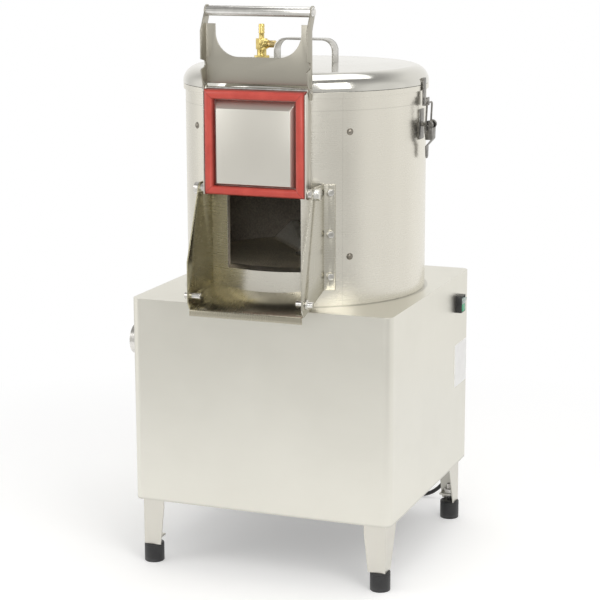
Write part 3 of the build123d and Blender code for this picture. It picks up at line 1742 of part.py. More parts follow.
def cord_coil():
    """The rest of the lead, wound in two layers as one tube."""
    total = 2 * coil_layer_turns + coil_climb_turns
    quarters = round(total * 4)
    places = [coil_point(number / 4) for number in range(quarters + 1)]
    ways = [coil_heading(number / 4, total) for number in range(quarters + 1)]
    edges = [Edge.make_line(Vector(*coil_start), places[0])]
    for number in range(quarters):
        edges += biarc(places[number], ways[number], places[number + 1], ways[number + 1])
    tail = places[-1] + ways[-1] * coil_tail
    edges.append(Edge.make_line(places[-1], tail))
    path = Wire(edges)
    print("coil length", round(path.length, 1), "turns", total)
    samples = [path.position_at(number / 600) for number in range(601)]
    step = path.length / 600
    apart = round(2 * math.pi * coil_radius / step / 2)
    least = min(
        (samples[first] - samples[second]).length
        for first in range(0, 601)
        for second in range(first + apart, 601)
    )
    print("coil least gap to itself", round(least - cord_diameter, 2))
    return sweep(Plane(coil_start, z_dir=(-1, 0, 0)) * Circle(cord_radius), path=path)


def mains_plug():
    """The plug at the lead's end, lying flat on the floor beside the coil."""
    tail_x = coil_x - coil_tail
    y = coil_y - coil_radius
    z = cord_radius + coil_pitch
    body_x = (tail_x - plug_tail_length - plug_length, tail_x - plug_tail_length)
    body = block(body_x, (y - plug_half_width, y + plug_half_width), (0, 2 * z))
    body = fillet(body.edges().filter_by(Axis.Z), plug_corner)
    relief = Cone(plug_tail_root_radius, plug_tail_radius, plug_tail_length)
    body += Pos(tail_x - plug_tail_length / 2, y, z) * Rot(0, 90, 0) * relief
    for side in (-1, 1):
        pin_x = (body_x[0] - plug_pin_length, body_x[0])
        body += rod_x(plug_pin_radius, pin_x, y + side * plug_pin_half_pitch, z)
    return body


def build():
    """Every piece by its name."""
    pieces = {
        "cabinet_shell": cabinet_shell(),
        "rear_cover": rear_cover(),
        "rear_cover_screws": rear_cover_screws(),
        "rubber_feet": rubber_feet(),
        "foot_bolts": foot_bolts(),
        "base_frame": base_frame(),
        "cross_beams": cross_beams(),
        "bearing_plate": bearing_plate(),
        "sump_pan": sump_pan(),
        "drain_spout": drain_spout(),
        "drum_wall": drum_wall(),
        "abrasive_liner": abrasive_liner(),
        "liner_screws": liner_screws(),
        "chute_side_left": chute_side(-1),
        "chute_side_right": chute_side(1),
        "chute_tray": chute_tray(),
        "chute_bolts": chute_bolts(),
        "latch_pins": latch_pins(),
        "door_pivot_bolts": door_pivot_bolts(),
        "door_pivot_bushes": door_pivot_bushes(),
        "door_pan": door_pan(),
        "door_plug": door_plug(),
        "door_gasket": door_gasket(),
        "lever_rod": lever_rod(),
        "locking_lever": locking_lever(),
        "lever_handle_bar": lever_handle_bar(),
        "lid_shell": lid_shell(),
        "lid_seal": lid_seal(),
        "lid_handle": lid_handle(),
        "lid_hinge_brackets": lid_hinge_brackets(),
        "lid_hinge_arms": lid_hinge_arms(),
        "lid_hinge_pins": lid_hinge_pins(),
        "latch_catch": latch_catch(),
        "latch_base": latch_base(),
        "latch_lever": latch_lever(),
        "latch_bail": latch_bail(),
        "valve_body": valve_body(),
        "valve_spindle": valve_spindle(),
        "peeling_disc": peeling_disc(),
        "disc_bolt": disc_bolt(),
        "drive_shaft": drive_shaft(),
        "shaft_seal": shaft_seal(),
        "bearing_housing": bearing_housing(),
        "shaft_bearings": shaft_bearings(),
        "driven_pulley": driven_pulley(),
        "drive_belt": drive_belt(),
        "motor": motor(),
        "motor_pulley": motor_pulley(),
        "motor_bracket": motor_bracket(),
        "switch_housing": switch_housing(),
        "switch_rocker": switch_rocker(),
        "rating_plate": rating_plate(),
        "cable_gland": cable_gland(),
        "cord_run": cord_run(),
        "cord_coil": cord_coil(),
        "mains_plug": mains_plug(),
    }
    for side_name, side in (("left", -1), ("right", 1)):
        for end_name, end in (("front", -1), ("rear", 1)):
            pieces[f"leg_{end_name}_{side_name}"] = leg(side, end)
    return pieces


os.makedirs("parts", exist_ok=True)
for name, piece in build().items():
    export_step(piece, f"parts/{name}.step")
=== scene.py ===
import json
import math

import bmesh
import bpy
from mathutils import Matrix, Vector

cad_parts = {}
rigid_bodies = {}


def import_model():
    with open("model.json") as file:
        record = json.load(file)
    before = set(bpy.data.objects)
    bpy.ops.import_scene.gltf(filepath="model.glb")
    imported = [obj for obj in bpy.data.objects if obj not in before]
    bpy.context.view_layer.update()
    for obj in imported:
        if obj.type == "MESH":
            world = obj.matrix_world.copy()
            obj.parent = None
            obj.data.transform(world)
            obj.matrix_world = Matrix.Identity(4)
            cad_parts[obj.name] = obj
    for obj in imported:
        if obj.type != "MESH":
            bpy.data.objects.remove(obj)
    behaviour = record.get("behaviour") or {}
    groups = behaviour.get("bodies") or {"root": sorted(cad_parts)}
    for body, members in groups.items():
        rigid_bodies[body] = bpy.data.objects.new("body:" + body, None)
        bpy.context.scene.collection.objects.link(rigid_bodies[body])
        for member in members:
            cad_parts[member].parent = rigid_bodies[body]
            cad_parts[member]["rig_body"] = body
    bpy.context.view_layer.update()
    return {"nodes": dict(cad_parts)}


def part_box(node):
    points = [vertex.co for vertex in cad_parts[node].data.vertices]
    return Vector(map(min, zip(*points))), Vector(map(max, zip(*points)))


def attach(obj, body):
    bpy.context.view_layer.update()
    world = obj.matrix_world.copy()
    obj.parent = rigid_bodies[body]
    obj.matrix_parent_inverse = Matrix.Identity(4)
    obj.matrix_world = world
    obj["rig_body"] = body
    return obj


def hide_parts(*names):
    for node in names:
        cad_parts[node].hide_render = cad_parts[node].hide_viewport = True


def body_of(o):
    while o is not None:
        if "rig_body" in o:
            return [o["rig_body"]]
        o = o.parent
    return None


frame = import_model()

nodes = frame["nodes"]
scene = bpy.context.scene
mm = 0.001


# Sizes and settings: a piece's own sizes in millimetres, places and the studio in metres

# The camera, fitted to the photograph
camera_spot, camera_ahead = (1.0750, -2.8210, 1.0560), (-0.3517, 0.9130, -0.2067)
camera_sensor, camera_lens, camera_clip = 36, 110.28, (0.05, 60)
camera_roll = -0.0026  # radians

# The gasket's strip and rounding, and the round feet
gasket_strip, gasket_foot_strip, gasket_round, gasket_round_steps = 15.0, 14.0, 6.7, 7
foot_width, foot_edge, foot_edge_steps, foot_sides = 32.8, 1.6, 3, 64
foot_tread, foot_tread_depth = 4.0, 1.5
foot_groove, foot_groove_depth = (26.5, 27.7), 0.5

# How closely faces and edges are picked, and how sharp an edge must be to be rounded
level_slack, groove_slack, ring_slack = 0.05 * mm, 0.4 * mm, 0.2 * mm
smallest_frame_face, smallest_tread_face = 0.001, 0.0002
smooth_angle, sharp_angle, flat_angle = math.radians(38), math.radians(42), math.radians(1.2)
seam_merge, softened_steps = 0.01 * mm, 2

# Where lines, stains, painted shade and a painted reflection lie, and where colours change
seam_angle, rim_line_height = 37.5, 0.756
casing_foot_height, deck_height, weld_ring_radius = 0.1115, 0.448, 0.199
rocker_reflection_height, cam_foot_height, foot_dust_height = 0.4005, 0.4965, 0.012

# The mains lead
coil_middle = Vector((-0.060, 0.345))
coil_radius, coil_pitch, layer_turns, climb_turns = 0.0495, 0.0076, 2.25, 0.5
lead_height, lead_length = 0.0035, 1.66
gland = (0.178, 0.238, 0.140)

# The floor
floor_reach, floor_lift, floor_fade = 1.3, 0.30, (0.45, 1.25)


def link(thing):
    """Puts a new object into the scene."""
    bpy.context.collection.objects.link(thing)
    return thing


# Camera


def place_camera():
    """The photograph's view: a long lens, low and to the right of the chute."""
    data = bpy.data.cameras.new("camera")
    data.sensor_width = camera_sensor
    data.lens = camera_lens
    data.clip_start, data.clip_end = camera_clip
    camera = link(bpy.data.objects.new("camera", data))
    spot = Vector(camera_spot)
    ahead = Vector(camera_ahead).normalized()
    right = ahead.cross(Vector((0, 0, 1))).normalized()
    up = right.cross(ahead)
    turned_right = right * math.cos(camera_roll) + up * math.sin(camera_roll)
    turned_up = up * math.cos(camera_roll) - right * math.sin(camera_roll)
    camera.matrix_world = Matrix(
        (
            (turned_right.x, turned_up.x, -ahead.x, spot.x),
            (turned_right.y, turned_up.y, -ahead.y, spot.y),
            (turned_right.z, turned_up.z, -ahead.z, spot.z),
            (0, 0, 0, 1),
        )
    )
    scene.camera = camera


# Materials


class Flow:
    """A number or colour that runs through a tree's nodes."""

    def __init__(self, tree, socket):
        self.tree = tree
        self.socket = socket

    def join(self, operation, first, second):
        node = self.tree.nodes.new("ShaderNodeMath")
        node.operation = operation
        put(self.tree, node.inputs[0], first)
        put(self.tree, node.inputs[1], second)
        return Flow(self.tree, node.outputs[0])

    def __add__(self, other):
        return self.join("ADD", self, other)

    def __radd__(self, other):
        return self.join("ADD", other, self)

    def __sub__(self, other):
        return self.join("SUBTRACT", self, other)

    def __rsub__(self, other):
        return self.join("SUBTRACT", other, self)

    def __mul__(self, other):
        return self.join("MULTIPLY", self, other)

    def __rmul__(self, other):
        return self.join("MULTIPLY", other, self)

    def least(self, other):
        return self.join("MINIMUM", self, other)

    def most(self, other):
        return self.join("MAXIMUM", self, other)


def put(tree, socket, value):
    """Sets a socket to a number, a colour or what a flow carries."""
    if isinstance(value, Flow):
        tree.links.new(value.socket, socket)
    elif isinstance(value, (tuple, list)) and len(socket.default_value) == 4 and len(value) == 3:
        socket.default_value = (*value, 1)
    else:
        socket.default_value = value


class Web:
    """A tree of shader nodes that is filled through one method."""

    def __init__(self, tree, coordinates="Object"):
        self.tree = tree
        self.place = self.node("ShaderNodeTexCoord", {}, {}, coordinates)

    def node(self, kind, settings, values, output=0):
        """Adds a node with its settings, then fills or links its sockets."""
        made = self.tree.nodes.new(kind)
        for setting, value in settings.items():
            setattr(made, setting, value)
        for socket, value in values.items():
            put(self.tree, made.inputs[socket], value)
        return Flow(self.tree, made.outputs[output])

    def ray(self, kind):
        """One for the rays of a kind, nothing for the others."""
        return self.node("ShaderNodeLightPath", {}, {}, kind)

    def along(self, way):
        """How far the place lies along a direction."""
        values = {0: self.place, 1: way}
        return self.node("ShaderNodeVectorMath", {"operation": "DOT_PRODUCT"}, values, "Value")

    def length(self, vector):
        return self.node("ShaderNodeVectorMath", {"operation": "LENGTH"}, {0: vector}, "Value")

    def steps(self, value, low, high, bottom=0.0, top=1.0):
        """A value's part between two limits, smoothed and clipped."""
        values = {0: value, 1: low, 2: high, 3: bottom, 4: top}
        return self.node("ShaderNodeMapRange", {"interpolation_type": "SMOOTHSTEP"}, values)

    def either(self, share, first, second):
        """One shader or another, by a share."""
        return self.node("ShaderNodeMixShader", {}, {0: share, 1: first, 2: second})


class Finish(Web):
    """A node material with one surface shader, built up by its maker."""

    def __init__(self, name, **fixed):
        self.material = bpy.data.materials.new(name)
        self.material.use_nodes = True
        super().__init__(self.material.node_tree)
        self.shader = self.tree.nodes["Principled BSDF"]
        for socket, value in fixed.items():
            self.set(socket, value)

    def set(self, socket, value):
        put(self.tree, self.shader.inputs[socket], value)

    def stretched(self, scale):
        """The object's own coordinates, scaled along each axis."""
        spread = scale if isinstance(scale, tuple) else (scale, scale, scale)
        return self.node("ShaderNodeMapping", {}, {"Vector": self.place, "Scale": spread})

    def noise(self, scale, detail=3.0, roughness=0.5, distortion=0.0):
        values = {
            "Vector": self.stretched(scale),
            "Scale": 1.0,
            "Detail": detail,
            "Roughness": roughness,
            "Distortion": distortion,
        }
        return self.node("ShaderNodeTexNoise", {}, values, "Fac")

    def cells(self, scale):
        values = {"Vector": self.stretched(scale), "Scale": 1.0}
        return self.node("ShaderNodeTexVoronoi", {"feature": "F1"}, values, "Distance")

    def axis(self, name):
        return self.node("ShaderNodeSeparateXYZ", {}, {0: self.place}, name)

    def size(self, value):
        """A value without its sign."""
        return self.node("ShaderNodeMath", {"operation": "ABSOLUTE"}, {0: value})

    def near(self, value, middle, half, soft):
        """One near a value, nothing away from it."""
        return self.steps(self.size(value - middle), half, half + soft, 1.0, 0.0)

    def blend(self, share, first, second):
        return self.node("ShaderNodeMix", {"data_type": "RGBA"}, {0: share, 6: first, 7: second}, 2)

    def mottle(self, value, low, high, dark, light):
        """A dark and a light tone, shared out by a value between two limits."""
        return self.blend(self.steps(value, low, high), dark, light)

    def bump(self, height, depth, edge=0.0):
        values = {"Distance": depth, "Height": height}
        if edge:
            values["Normal"] = self.node("ShaderNodeBevel", {"samples": 6}, {"Radius": edge})
        self.set("Normal", self.node("ShaderNodeBump", {}, values))


def deeper(colour, part):
    """A colour taken down to a part of itself."""
    return tuple(tone * part for tone in colour)


def steel(name, light, dark, rough, grain=(7, 7, 2400), depth=0.000008, marks_and_shade=None):
    """Brushed stainless sheet: drawn lines, soft clouds, wiped patches and a few scratches."""
    finish = Finish(name, Metallic=1.0)
    lines = finish.noise(grain, detail=4, roughness=0.6)
    clouds = finish.noise(7, detail=3, roughness=0.55)
    wiped = finish.steps(finish.noise((18, 18, 26), detail=5, roughness=0.62), 0.45, 0.75)
    scratch = finish.steps(finish.noise((160, 160, 9), detail=2, distortion=2.5), 0.70, 0.74)
    mixed = (lines - 0.5) * 0.20 + (clouds - 0.5) * 0.6 + 0.5
    colour = finish.mottle(mixed, 0.15, 0.85, dark, light)
    # darkened towards a deeper tone by a given mask: real seams, lines and stains, and on the drum a
    # painted shadow
    if marks_and_shade:
        colour = finish.blend(marks_and_shade(finish), colour, deeper(dark, 0.62))
    finish.set("Base Color", colour)
    worn = wiped * 0.035 + scratch * 0.05
    finish.set("Roughness", rough + (lines - 0.5) * 0.08 + (clouds - 0.5) * 0.06 + worn)
    finish.bump(lines * 0.7 + clouds * 0.3 - scratch * 0.2, depth, edge=0.0008)
    return finish.material


def drum_seam_and_shade(finish):
    """The drum's closing seam at the front right, a faint line under its rim and a painted shadow along its
    foot.
    """
    turn = math.radians(seam_angle)
    seam = finish.near(finish.along((math.cos(turn), math.sin(turn), 0.0)), 0.0, 0.0004, 0.0005)
    front = finish.steps(finish.axis("Y"), -0.02, 0.0, 1.0, 0.0)
    line = finish.near(finish.axis("Z"), rim_line_height, 0.0003, 0.0008)
    # painted shadow: the drum darkened in the few millimetres above the deck, where shade falls at its foot
    foot = finish.steps(finish.axis("Z"), deck_height, deck_height + 0.0025, 0.55, 0.0)
    return (seam * front * 0.22).most(line * 0.3).most(foot)


def cabinet_marks(finish):
    """A darker line along the foot of the casing and weld stains round the drum."""
    height = finish.axis("Z")
    foot = finish.steps(height, casing_foot_height, casing_foot_height + 0.005, 0.45, 0.0)
    level = {0: finish.place, 1: (1.0, 1.0, 0.0)}
    reach = finish.length(finish.node("ShaderNodeVectorMath", {"operation": "MULTIPLY"}, level))
    ring = finish.near(reach, weld_ring_radius, 0.0012, 0.0035)
    return foot.most(ring * finish.steps(height, deck_height - 0.003, deck_height - 0.0005) * 0.6)


def bright(name, light, dark, rough=0.2, scale=260):
    """Turned or pressed bright steel, a little dulled in its hollows."""
    finish = Finish(name, Metallic=1.0)
    spots = finish.noise(scale, detail=4, roughness=0.6)
    clouds = finish.noise(40, detail=2)
    finish.set("Base Color", finish.mottle(spots * 0.5 + clouds * 0.5, 0.35, 0.65, dark, light))
    finish.set("Roughness", rough + (spots - 0.5) * 0.16 + (clouds - 0.5) * 0.1)
    finish.bump(spots, 0.00002)
    return finish.material


def rubber(name, light, dark, rough, dust_height=0.0, marks_and_shade=None):
    """Moulded rubber: matt, faintly grained, dusty from the floor up to a height."""
    finish = Finish(name)
    fine = finish.noise(1400, detail=3)
    clouds = finish.noise(45, detail=3)
    colour = finish.mottle(clouds * 0.6 + fine * 0.4, 0.35, 0.65, dark, light)
    if dust_height:
        dust = finish.steps(finish.axis("Z"), 0.0, dust_height, 0.7, 0.0) * finish.steps(clouds, 0.35, 0.7)
        pale = tuple(min(1.0, part * 1.3 + 0.06) for part in light)
        colour = finish.blend(dust, colour, pale)
    # darkened by a given mask: on the gasket, painted shade along the strip's edges and its dark mitred
    # joints
    if marks_and_shade:
        colour = finish.blend(marks_and_shade(finish), colour, deeper(dark, 0.25))
    finish.set("Base Color", colour)
    finish.set("Roughness", rough + (fine - 0.5) * 0.2 + (clouds - 0.5) * 0.1)
    finish.bump(fine, 0.00004)
    return finish.material


def gasket_shade_and_mitres(finish):
    """Painted shade where the gasket's round strip turns down to its feet, and its dark mitred joints."""
    low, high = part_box("door_gasket")
    half = gasket_strip / 2 * mm
    centre = (low.z + high.z) / 2
    across = finish.size(finish.axis("X")) - (high.x - half)
    upright = finish.size(finish.axis("Z") - centre) - (high.z - centre - half)
    # painted shade: the strip darkened towards both its edges, in place of the shading of its round profile
    edge = finish.steps(finish.size(across.most(upright)), half * 0.62, half, 0.0, 0.55)
    corner = finish.steps(across.least(upright), -half, -half * 0.8)
    mitre = finish.near(across - upright, 0.0, 0.0002, 0.0006) * corner
    return edge.most(mitre * 0.6)


def plastic(name, light, dark, rough=0.35, depth=0.00002, split=None, lower=None):
    """Moulded plastic with a fine eroded skin, in one colour, or split at a height into its own colour
    below and a painted reflection above.
    """
    finish = Finish(name)
    fine = finish.noise(900, detail=2)
    clouds = finish.noise(60, detail=2)
    colour = finish.mottle(clouds, 0.35, 0.65, dark, light)
    # above the split height the colour is a painted reflection, below it the plastic's own colour
    if split:
        colour = finish.mottle(finish.axis("Z"), split - 0.0004, split + 0.0004, lower, colour)
    finish.set("Base Color", colour)
    finish.set("Roughness", rough + (fine - 0.5) * 0.15 + (clouds - 0.5) * 0.1)
    finish.bump(fine, depth)
    return finish.material


def paint(name, light, dark, rough=0.45):
    """Sprayed enamel with a slight orange peel, dusty in patches."""
    finish = Finish(name)
    peel = finish.noise(420, detail=2)
    clouds = finish.noise(14, detail=4)
    finish.set("Base Color", finish.mottle(clouds, 0.3, 0.7, dark, light))
    finish.set("Roughness", rough + (peel - 0.5) * 0.1 + (clouds - 0.5) * 0.15)
    finish.bump(peel, 0.00008)
    return finish.material


def cast(name, light, dark):
    """Rough cast iron with darker hollows."""
    finish = Finish(name, Metallic=0.85)
    sand = finish.noise(520, detail=5, roughness=0.7)
    clouds = finish.noise(30, detail=3)
    finish.set("Base Color", finish.mottle(sand * 0.5 + clouds * 0.5, 0.3, 0.7, dark, light))
    finish.set("Roughness", 0.55 + (sand - 0.5) * 0.3)
    finish.bump(sand, 0.0003)
    return finish.material


def grit(name, light, dark, worn=None, worn_from=0.0):
    """Bonded abrasive: sharp grains of several sizes in a hard resin, paler where it is worn."""
    finish = Finish(name)
    coarse = finish.cells(330)
    fine = finish.noise(1500, detail=4, roughness=0.7)
    clouds = finish.noise(16, detail=4, roughness=0.6)
    height = (1 - coarse) * 0.7 + fine * 0.3
    share = finish.steps(height * 0.6 + clouds * 0.5, 0.3, 0.95)
    colour = finish.blend(share, dark, light)
    if worn:
        rubbed = finish.steps(finish.axis("Z"), worn_from, worn_from + 0.006) * (share * 0.5 + 0.5)
        colour = finish.blend(rubbed, colour, worn)
    finish.set("Base Color", colour)
    finish.set("Roughness", 0.5 + fine * 0.3)
    finish.bump(height, 0.0009)
    return finish.material


def brass(name, light, dark, rough=0.22):
    """Machined brass, darker where fingers have touched it."""
    finish = Finish(name, Metallic=1.0)
    rings = finish.noise((40, 40, 1500), detail=3)
    clouds = finish.noise(120, detail=3)
    finish.set("Base Color", finish.mottle(clouds * 0.7 + rings * 0.3, 0.3, 0.7, dark, light))
    finish.set("Roughness", rough + (rings - 0.5) * 0.15 + (clouds - 0.5) * 0.15)
    finish.bump(rings, 0.00003)
    return finish.material


warm_light, warm_dark = (0.80, 0.785, 0.715), (0.73, 0.715, 0.645)
materials = {
    "cabinet": steel("cabinet_steel", warm_light, warm_dark, 0.34, marks_and_shade=cabinet_marks),
    "drum": steel("drum_steel", (0.79, 0.765, 0.69), (0.74, 0.715, 0.64), 0.27, depth=0.000003,
                  marks_and_shade=drum_seam_and_shade),
    "sheet": steel("chute_steel", (0.46, 0.43, 0.345), (0.41, 0.385, 0.305), 0.26, grain=(2400, 7, 7),
                   depth=0.000004),
    "side": steel("chute_side_steel", (0.56, 0.54, 0.47), (0.51, 0.49, 0.425), 0.26, depth=0.000004),
    # painted shade: the left chute side as a darker copy of the chute side steel
    "side_painted_shade": steel("chute_side_shaded", (0.44, 0.41, 0.29), (0.39, 0.36, 0.25), 0.26, depth=0.000004),
    "lever": steel("lever_steel", (0.47, 0.45, 0.385), (0.42, 0.40, 0.345), 0.36, depth=0.000006),
    "panel": steel("panel_steel", (0.73, 0.71, 0.65), (0.70, 0.68, 0.62), 0.40, grain=(2400, 7, 7)),
    "lid": steel("lid_steel", (0.69, 0.68, 0.635), (0.62, 0.61, 0.57), 0.12, grain=(300, 300, 40),
                 depth=0.000006),
    "leg": steel("leg_steel", (0.72, 0.70, 0.64), (0.63, 0.61, 0.555), 0.34),
    "inner": steel("inner_steel", (0.60, 0.58, 0.54), (0.48, 0.46, 0.42), 0.40),
    "spout": steel("spout_steel", (0.78, 0.765, 0.73), (0.68, 0.665, 0.63), 0.22, grain=(2400, 8, 8)),
    "bright": bright("bright_steel", (0.80, 0.79, 0.76), (0.55, 0.53, 0.50)),
    "bar": bright("bar_steel", (0.82, 0.81, 0.78), (0.72, 0.71, 0.68), rough=0.17, scale=120),
    "handle": bright("handle_steel", (0.64, 0.63, 0.60), (0.48, 0.47, 0.44), rough=0.24, scale=150),
    "dull": bright("dull_screw_steel", (0.36, 0.33, 0.285), (0.18, 0.165, 0.14), rough=0.38),
    "wire": bright("wire_steel", (0.30, 0.29, 0.27), (0.14, 0.135, 0.125), rough=0.30),
    "frame": paint("frame_enamel", (0.18, 0.19, 0.20), (0.12, 0.125, 0.13)),
    "motor": paint("motor_enamel", (0.20, 0.24, 0.29), (0.13, 0.16, 0.20), rough=0.4),
    "cast": cast("cast_iron", (0.34, 0.33, 0.32), (0.16, 0.155, 0.15)),
    "liner": grit("liner_grit", (0.52, 0.46, 0.375), (0.27, 0.235, 0.19)),
    "disc": grit("disc_grit", (0.78, 0.70, 0.53), (0.46, 0.41, 0.31), worn=(0.90, 0.88, 0.80),
                 worn_from=cam_foot_height),
    "gasket": rubber("red_silicone", (0.60, 0.085, 0.062), (0.51, 0.062, 0.046), rough=0.34,
                     marks_and_shade=gasket_shade_and_mitres),
    "rubber": rubber("black_rubber", (0.030, 0.030, 0.031), (0.014, 0.014, 0.015), rough=0.42,
                     dust_height=foot_dust_height),
    "seal": rubber("seal_rubber", (0.045, 0.044, 0.043), (0.02, 0.02, 0.02), rough=0.5),
    "belt": rubber("belt_rubber", (0.04, 0.04, 0.04), (0.02, 0.02, 0.02), rough=0.65),
    "brass": brass("brass", (0.82, 0.67, 0.27), (0.62, 0.47, 0.16)),
    "brass_dark": brass("brass_spindle", (0.76, 0.62, 0.32), (0.54, 0.40, 0.16), rough=0.3),
    "black": plastic("black_plastic", (0.028, 0.028, 0.029), (0.016, 0.016, 0.017)),
    # the rocker: its own green below the split, a pale grey-green painted reflection on the tilted upper
    # half
    "green": plastic("green_plastic", (0.42, 0.50, 0.47), (0.34, 0.42, 0.39), rough=0.25,
                     split=rocker_reflection_height, lower=(0.05, 0.42, 0.20)),
    "plate": plastic("white_foil", (0.98, 0.98, 0.975), (0.94, 0.94, 0.935), rough=0.4, depth=0.00001),
    "cord": rubber("cord_sheath", (0.035, 0.035, 0.036), (0.02, 0.02, 0.02), rough=0.45),
}

node_finish = {
    "cabinet_shell": "cabinet",
    "rear_cover": "cabinet",
    "rear_cover_screws": "bright",
    "leg_front_left": "leg",
    "leg_front_right": "leg",
    "leg_rear_left": "leg",
    "leg_rear_right": "leg",
    "rubber_feet": "rubber",
    "foot_bolts": "bright",
    "base_frame": "frame",
    "cross_beams": "frame",
    "bearing_plate": "frame",
    "sump_pan": "inner",
    "drain_spout": "spout",
    "drum_wall": "drum",
    "abrasive_liner": "liner",
    "liner_screws": "dull",
    # painted shade: the left side takes the darker copy of the side steel
    "chute_side_left": "side_painted_shade",
    "chute_side_right": "side",
    "chute_tray": "sheet",
    "chute_bolts": "handle",
    "latch_pins": "bright",
    "door_pivot_bolts": "bright",
    "door_pivot_bushes": "bright",
    "door_pan": "panel",
    "door_plug": "panel",
    "door_gasket": "gasket",
    "lever_rod": "bright",
    "locking_lever": "lever",
    "lever_handle_bar": "bar",
    "lid_shell": "lid",
    "lid_seal": "seal",
    "lid_handle": "handle",
    "lid_hinge_brackets": "drum",
    "lid_hinge_arms": "bright",
    "lid_hinge_pins": "bright",
    "latch_catch": "wire",
    "latch_base": "wire",
    "latch_lever": "wire",
    "latch_bail": "wire",
    "valve_body": "brass",
    "valve_spindle": "brass_dark",
    "peeling_disc": "disc",
    "disc_bolt": "bright",
    "drive_shaft": "bright",
    "shaft_seal": "seal",
    "bearing_housing": "cast",
    "shaft_bearings": "bright",
    "driven_pulley": "cast",
    "drive_belt": "belt",
    "motor": "motor",
    "motor_pulley": "cast",
    "motor_bracket": "frame",
    "switch_housing": "black",
    "switch_rocker": "green",
    "rating_plate": "plate",
    "cable_gland": "black",
    "cord_run": "cord",
    "cord_coil": "cord",
    "mains_plug": "black",
}


def dress(thing, finish):
    """Gives an object one material all over."""
    thing.data.materials.clear()
    thing.data.materials.append(materials[finish])


for name, finish in node_finish.items():
    dress(nodes[name], finish)


# Modelled pieces


def only(thing):
    """Selects one object alone and makes it the active one."""
    if bpy.context.mode != "OBJECT":
        bpy.ops.object.mode_set(mode="OBJECT")
    bpy.ops.object.select_all(action="DESELECT")
    thing.select_set(True)
    bpy.context.view_layer.objects.active = thing


def begin(name):
    """Names a new primitive, moves its place into its mesh and opens it for editing."""
    thing = bpy.context.object
    thing.name = name
    thing.data.name = name
    bpy.ops.object.transform_apply(location=True, rotation=True, scale=True)
    bpy.ops.object.mode_set(mode="EDIT")
    bpy.ops.mesh.select_all(action="DESELECT")
    return thing


def block(name, low, high):
    """A box between two corners, ready to be shaped in edit mode."""
    low, high = Vector(low), Vector(high)
    bpy.ops.object.select_all(action="DESELECT")
    bpy.ops.mesh.primitive_cube_add(size=1, location=(low + high) / 2, scale=high - low)
    return begin(name)


def pick(thing, kind, wanted):
    """In edit mode, selects the faces or edges whose middle passes a test, and nothing else."""
    bpy.ops.mesh.select_mode(type=kind)
    bpy.ops.mesh.select_all(action="DESELECT")
    mesh = bmesh.from_edit_mesh(thing.data)
    if kind == "FACE":
        for face in mesh.faces:
            face.select_set(wanted(face.calc_center_median(), face))
    else:
        for edge in mesh.edges:
            edge.select_set(wanted((edge.verts[0].co + edge.verts[1].co) / 2, edge))
    mesh.select_flush_mode()
    bmesh.update_edit_mesh(thing.data)


def close(thing, finish, body, *replaced):
    """Leaves edit mode, smooths the rounds and hands the piece to its body."""
    bpy.ops.mesh.select_all(action="SELECT")
    bpy.ops.mesh.normals_make_consistent(inside=False)
    bpy.ops.object.mode_set(mode="OBJECT")
    only(thing)
    bpy.ops.object.shade_smooth_by_angle(angle=smooth_angle)
    dress(thing, finish)
    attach(thing, body)
    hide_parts(*replaced)


def gasket():
    """The red silicone ring round the door's plug, rounded on its front edges and mitred at its corners."""
    low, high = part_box("door_gasket")
    strip, foot_strip = gasket_strip * mm, gasket_foot_strip * mm
    thing = block("gasket_ring", low, high)

    def whole_side(middle, face):
        return abs(middle.y - side) < ring_slack and face.calc_area() > smallest_frame_face

    def lower_edge(middle, edge):
        return abs(middle.y - side) < ring_slack and abs(middle.z - low.z - strip) < ring_slack

    for side in (low.y, high.y):
        pick(thing, "FACE", whole_side)
        bpy.ops.mesh.inset(thickness=strip, depth=0)
        pick(thing, "EDGE", lower_edge)
        bpy.ops.transform.translate(value=(0, 0, foot_strip - strip))
    opening = (high.x - low.x - 2 * strip) * (high.z - low.z - strip - foot_strip)

    def opening_face(middle, face):
        return abs(face.calc_area() - opening) < opening * 0.001 and abs(face.normal.y) > 0.9

    def front_rim(middle, edge):
        ends = [vertex.co for vertex in edge.verts]
        along = (ends[0] - ends[1]).normalized()
        level = all(abs(end.y - low.y) < ring_slack for end in ends)
        return level and max(abs(along.x), abs(along.z)) > 0.999

    pick(thing, "FACE", opening_face)
    bpy.ops.mesh.bridge_edge_loops()
    pick(thing, "EDGE", front_rim)
    bpy.ops.mesh.bevel(offset=gasket_round * mm, segments=gasket_round_steps, profile=0.5, affect="EDGES")
    close(thing, "gasket", body_of(nodes["door_gasket"])[0], "door_gasket")


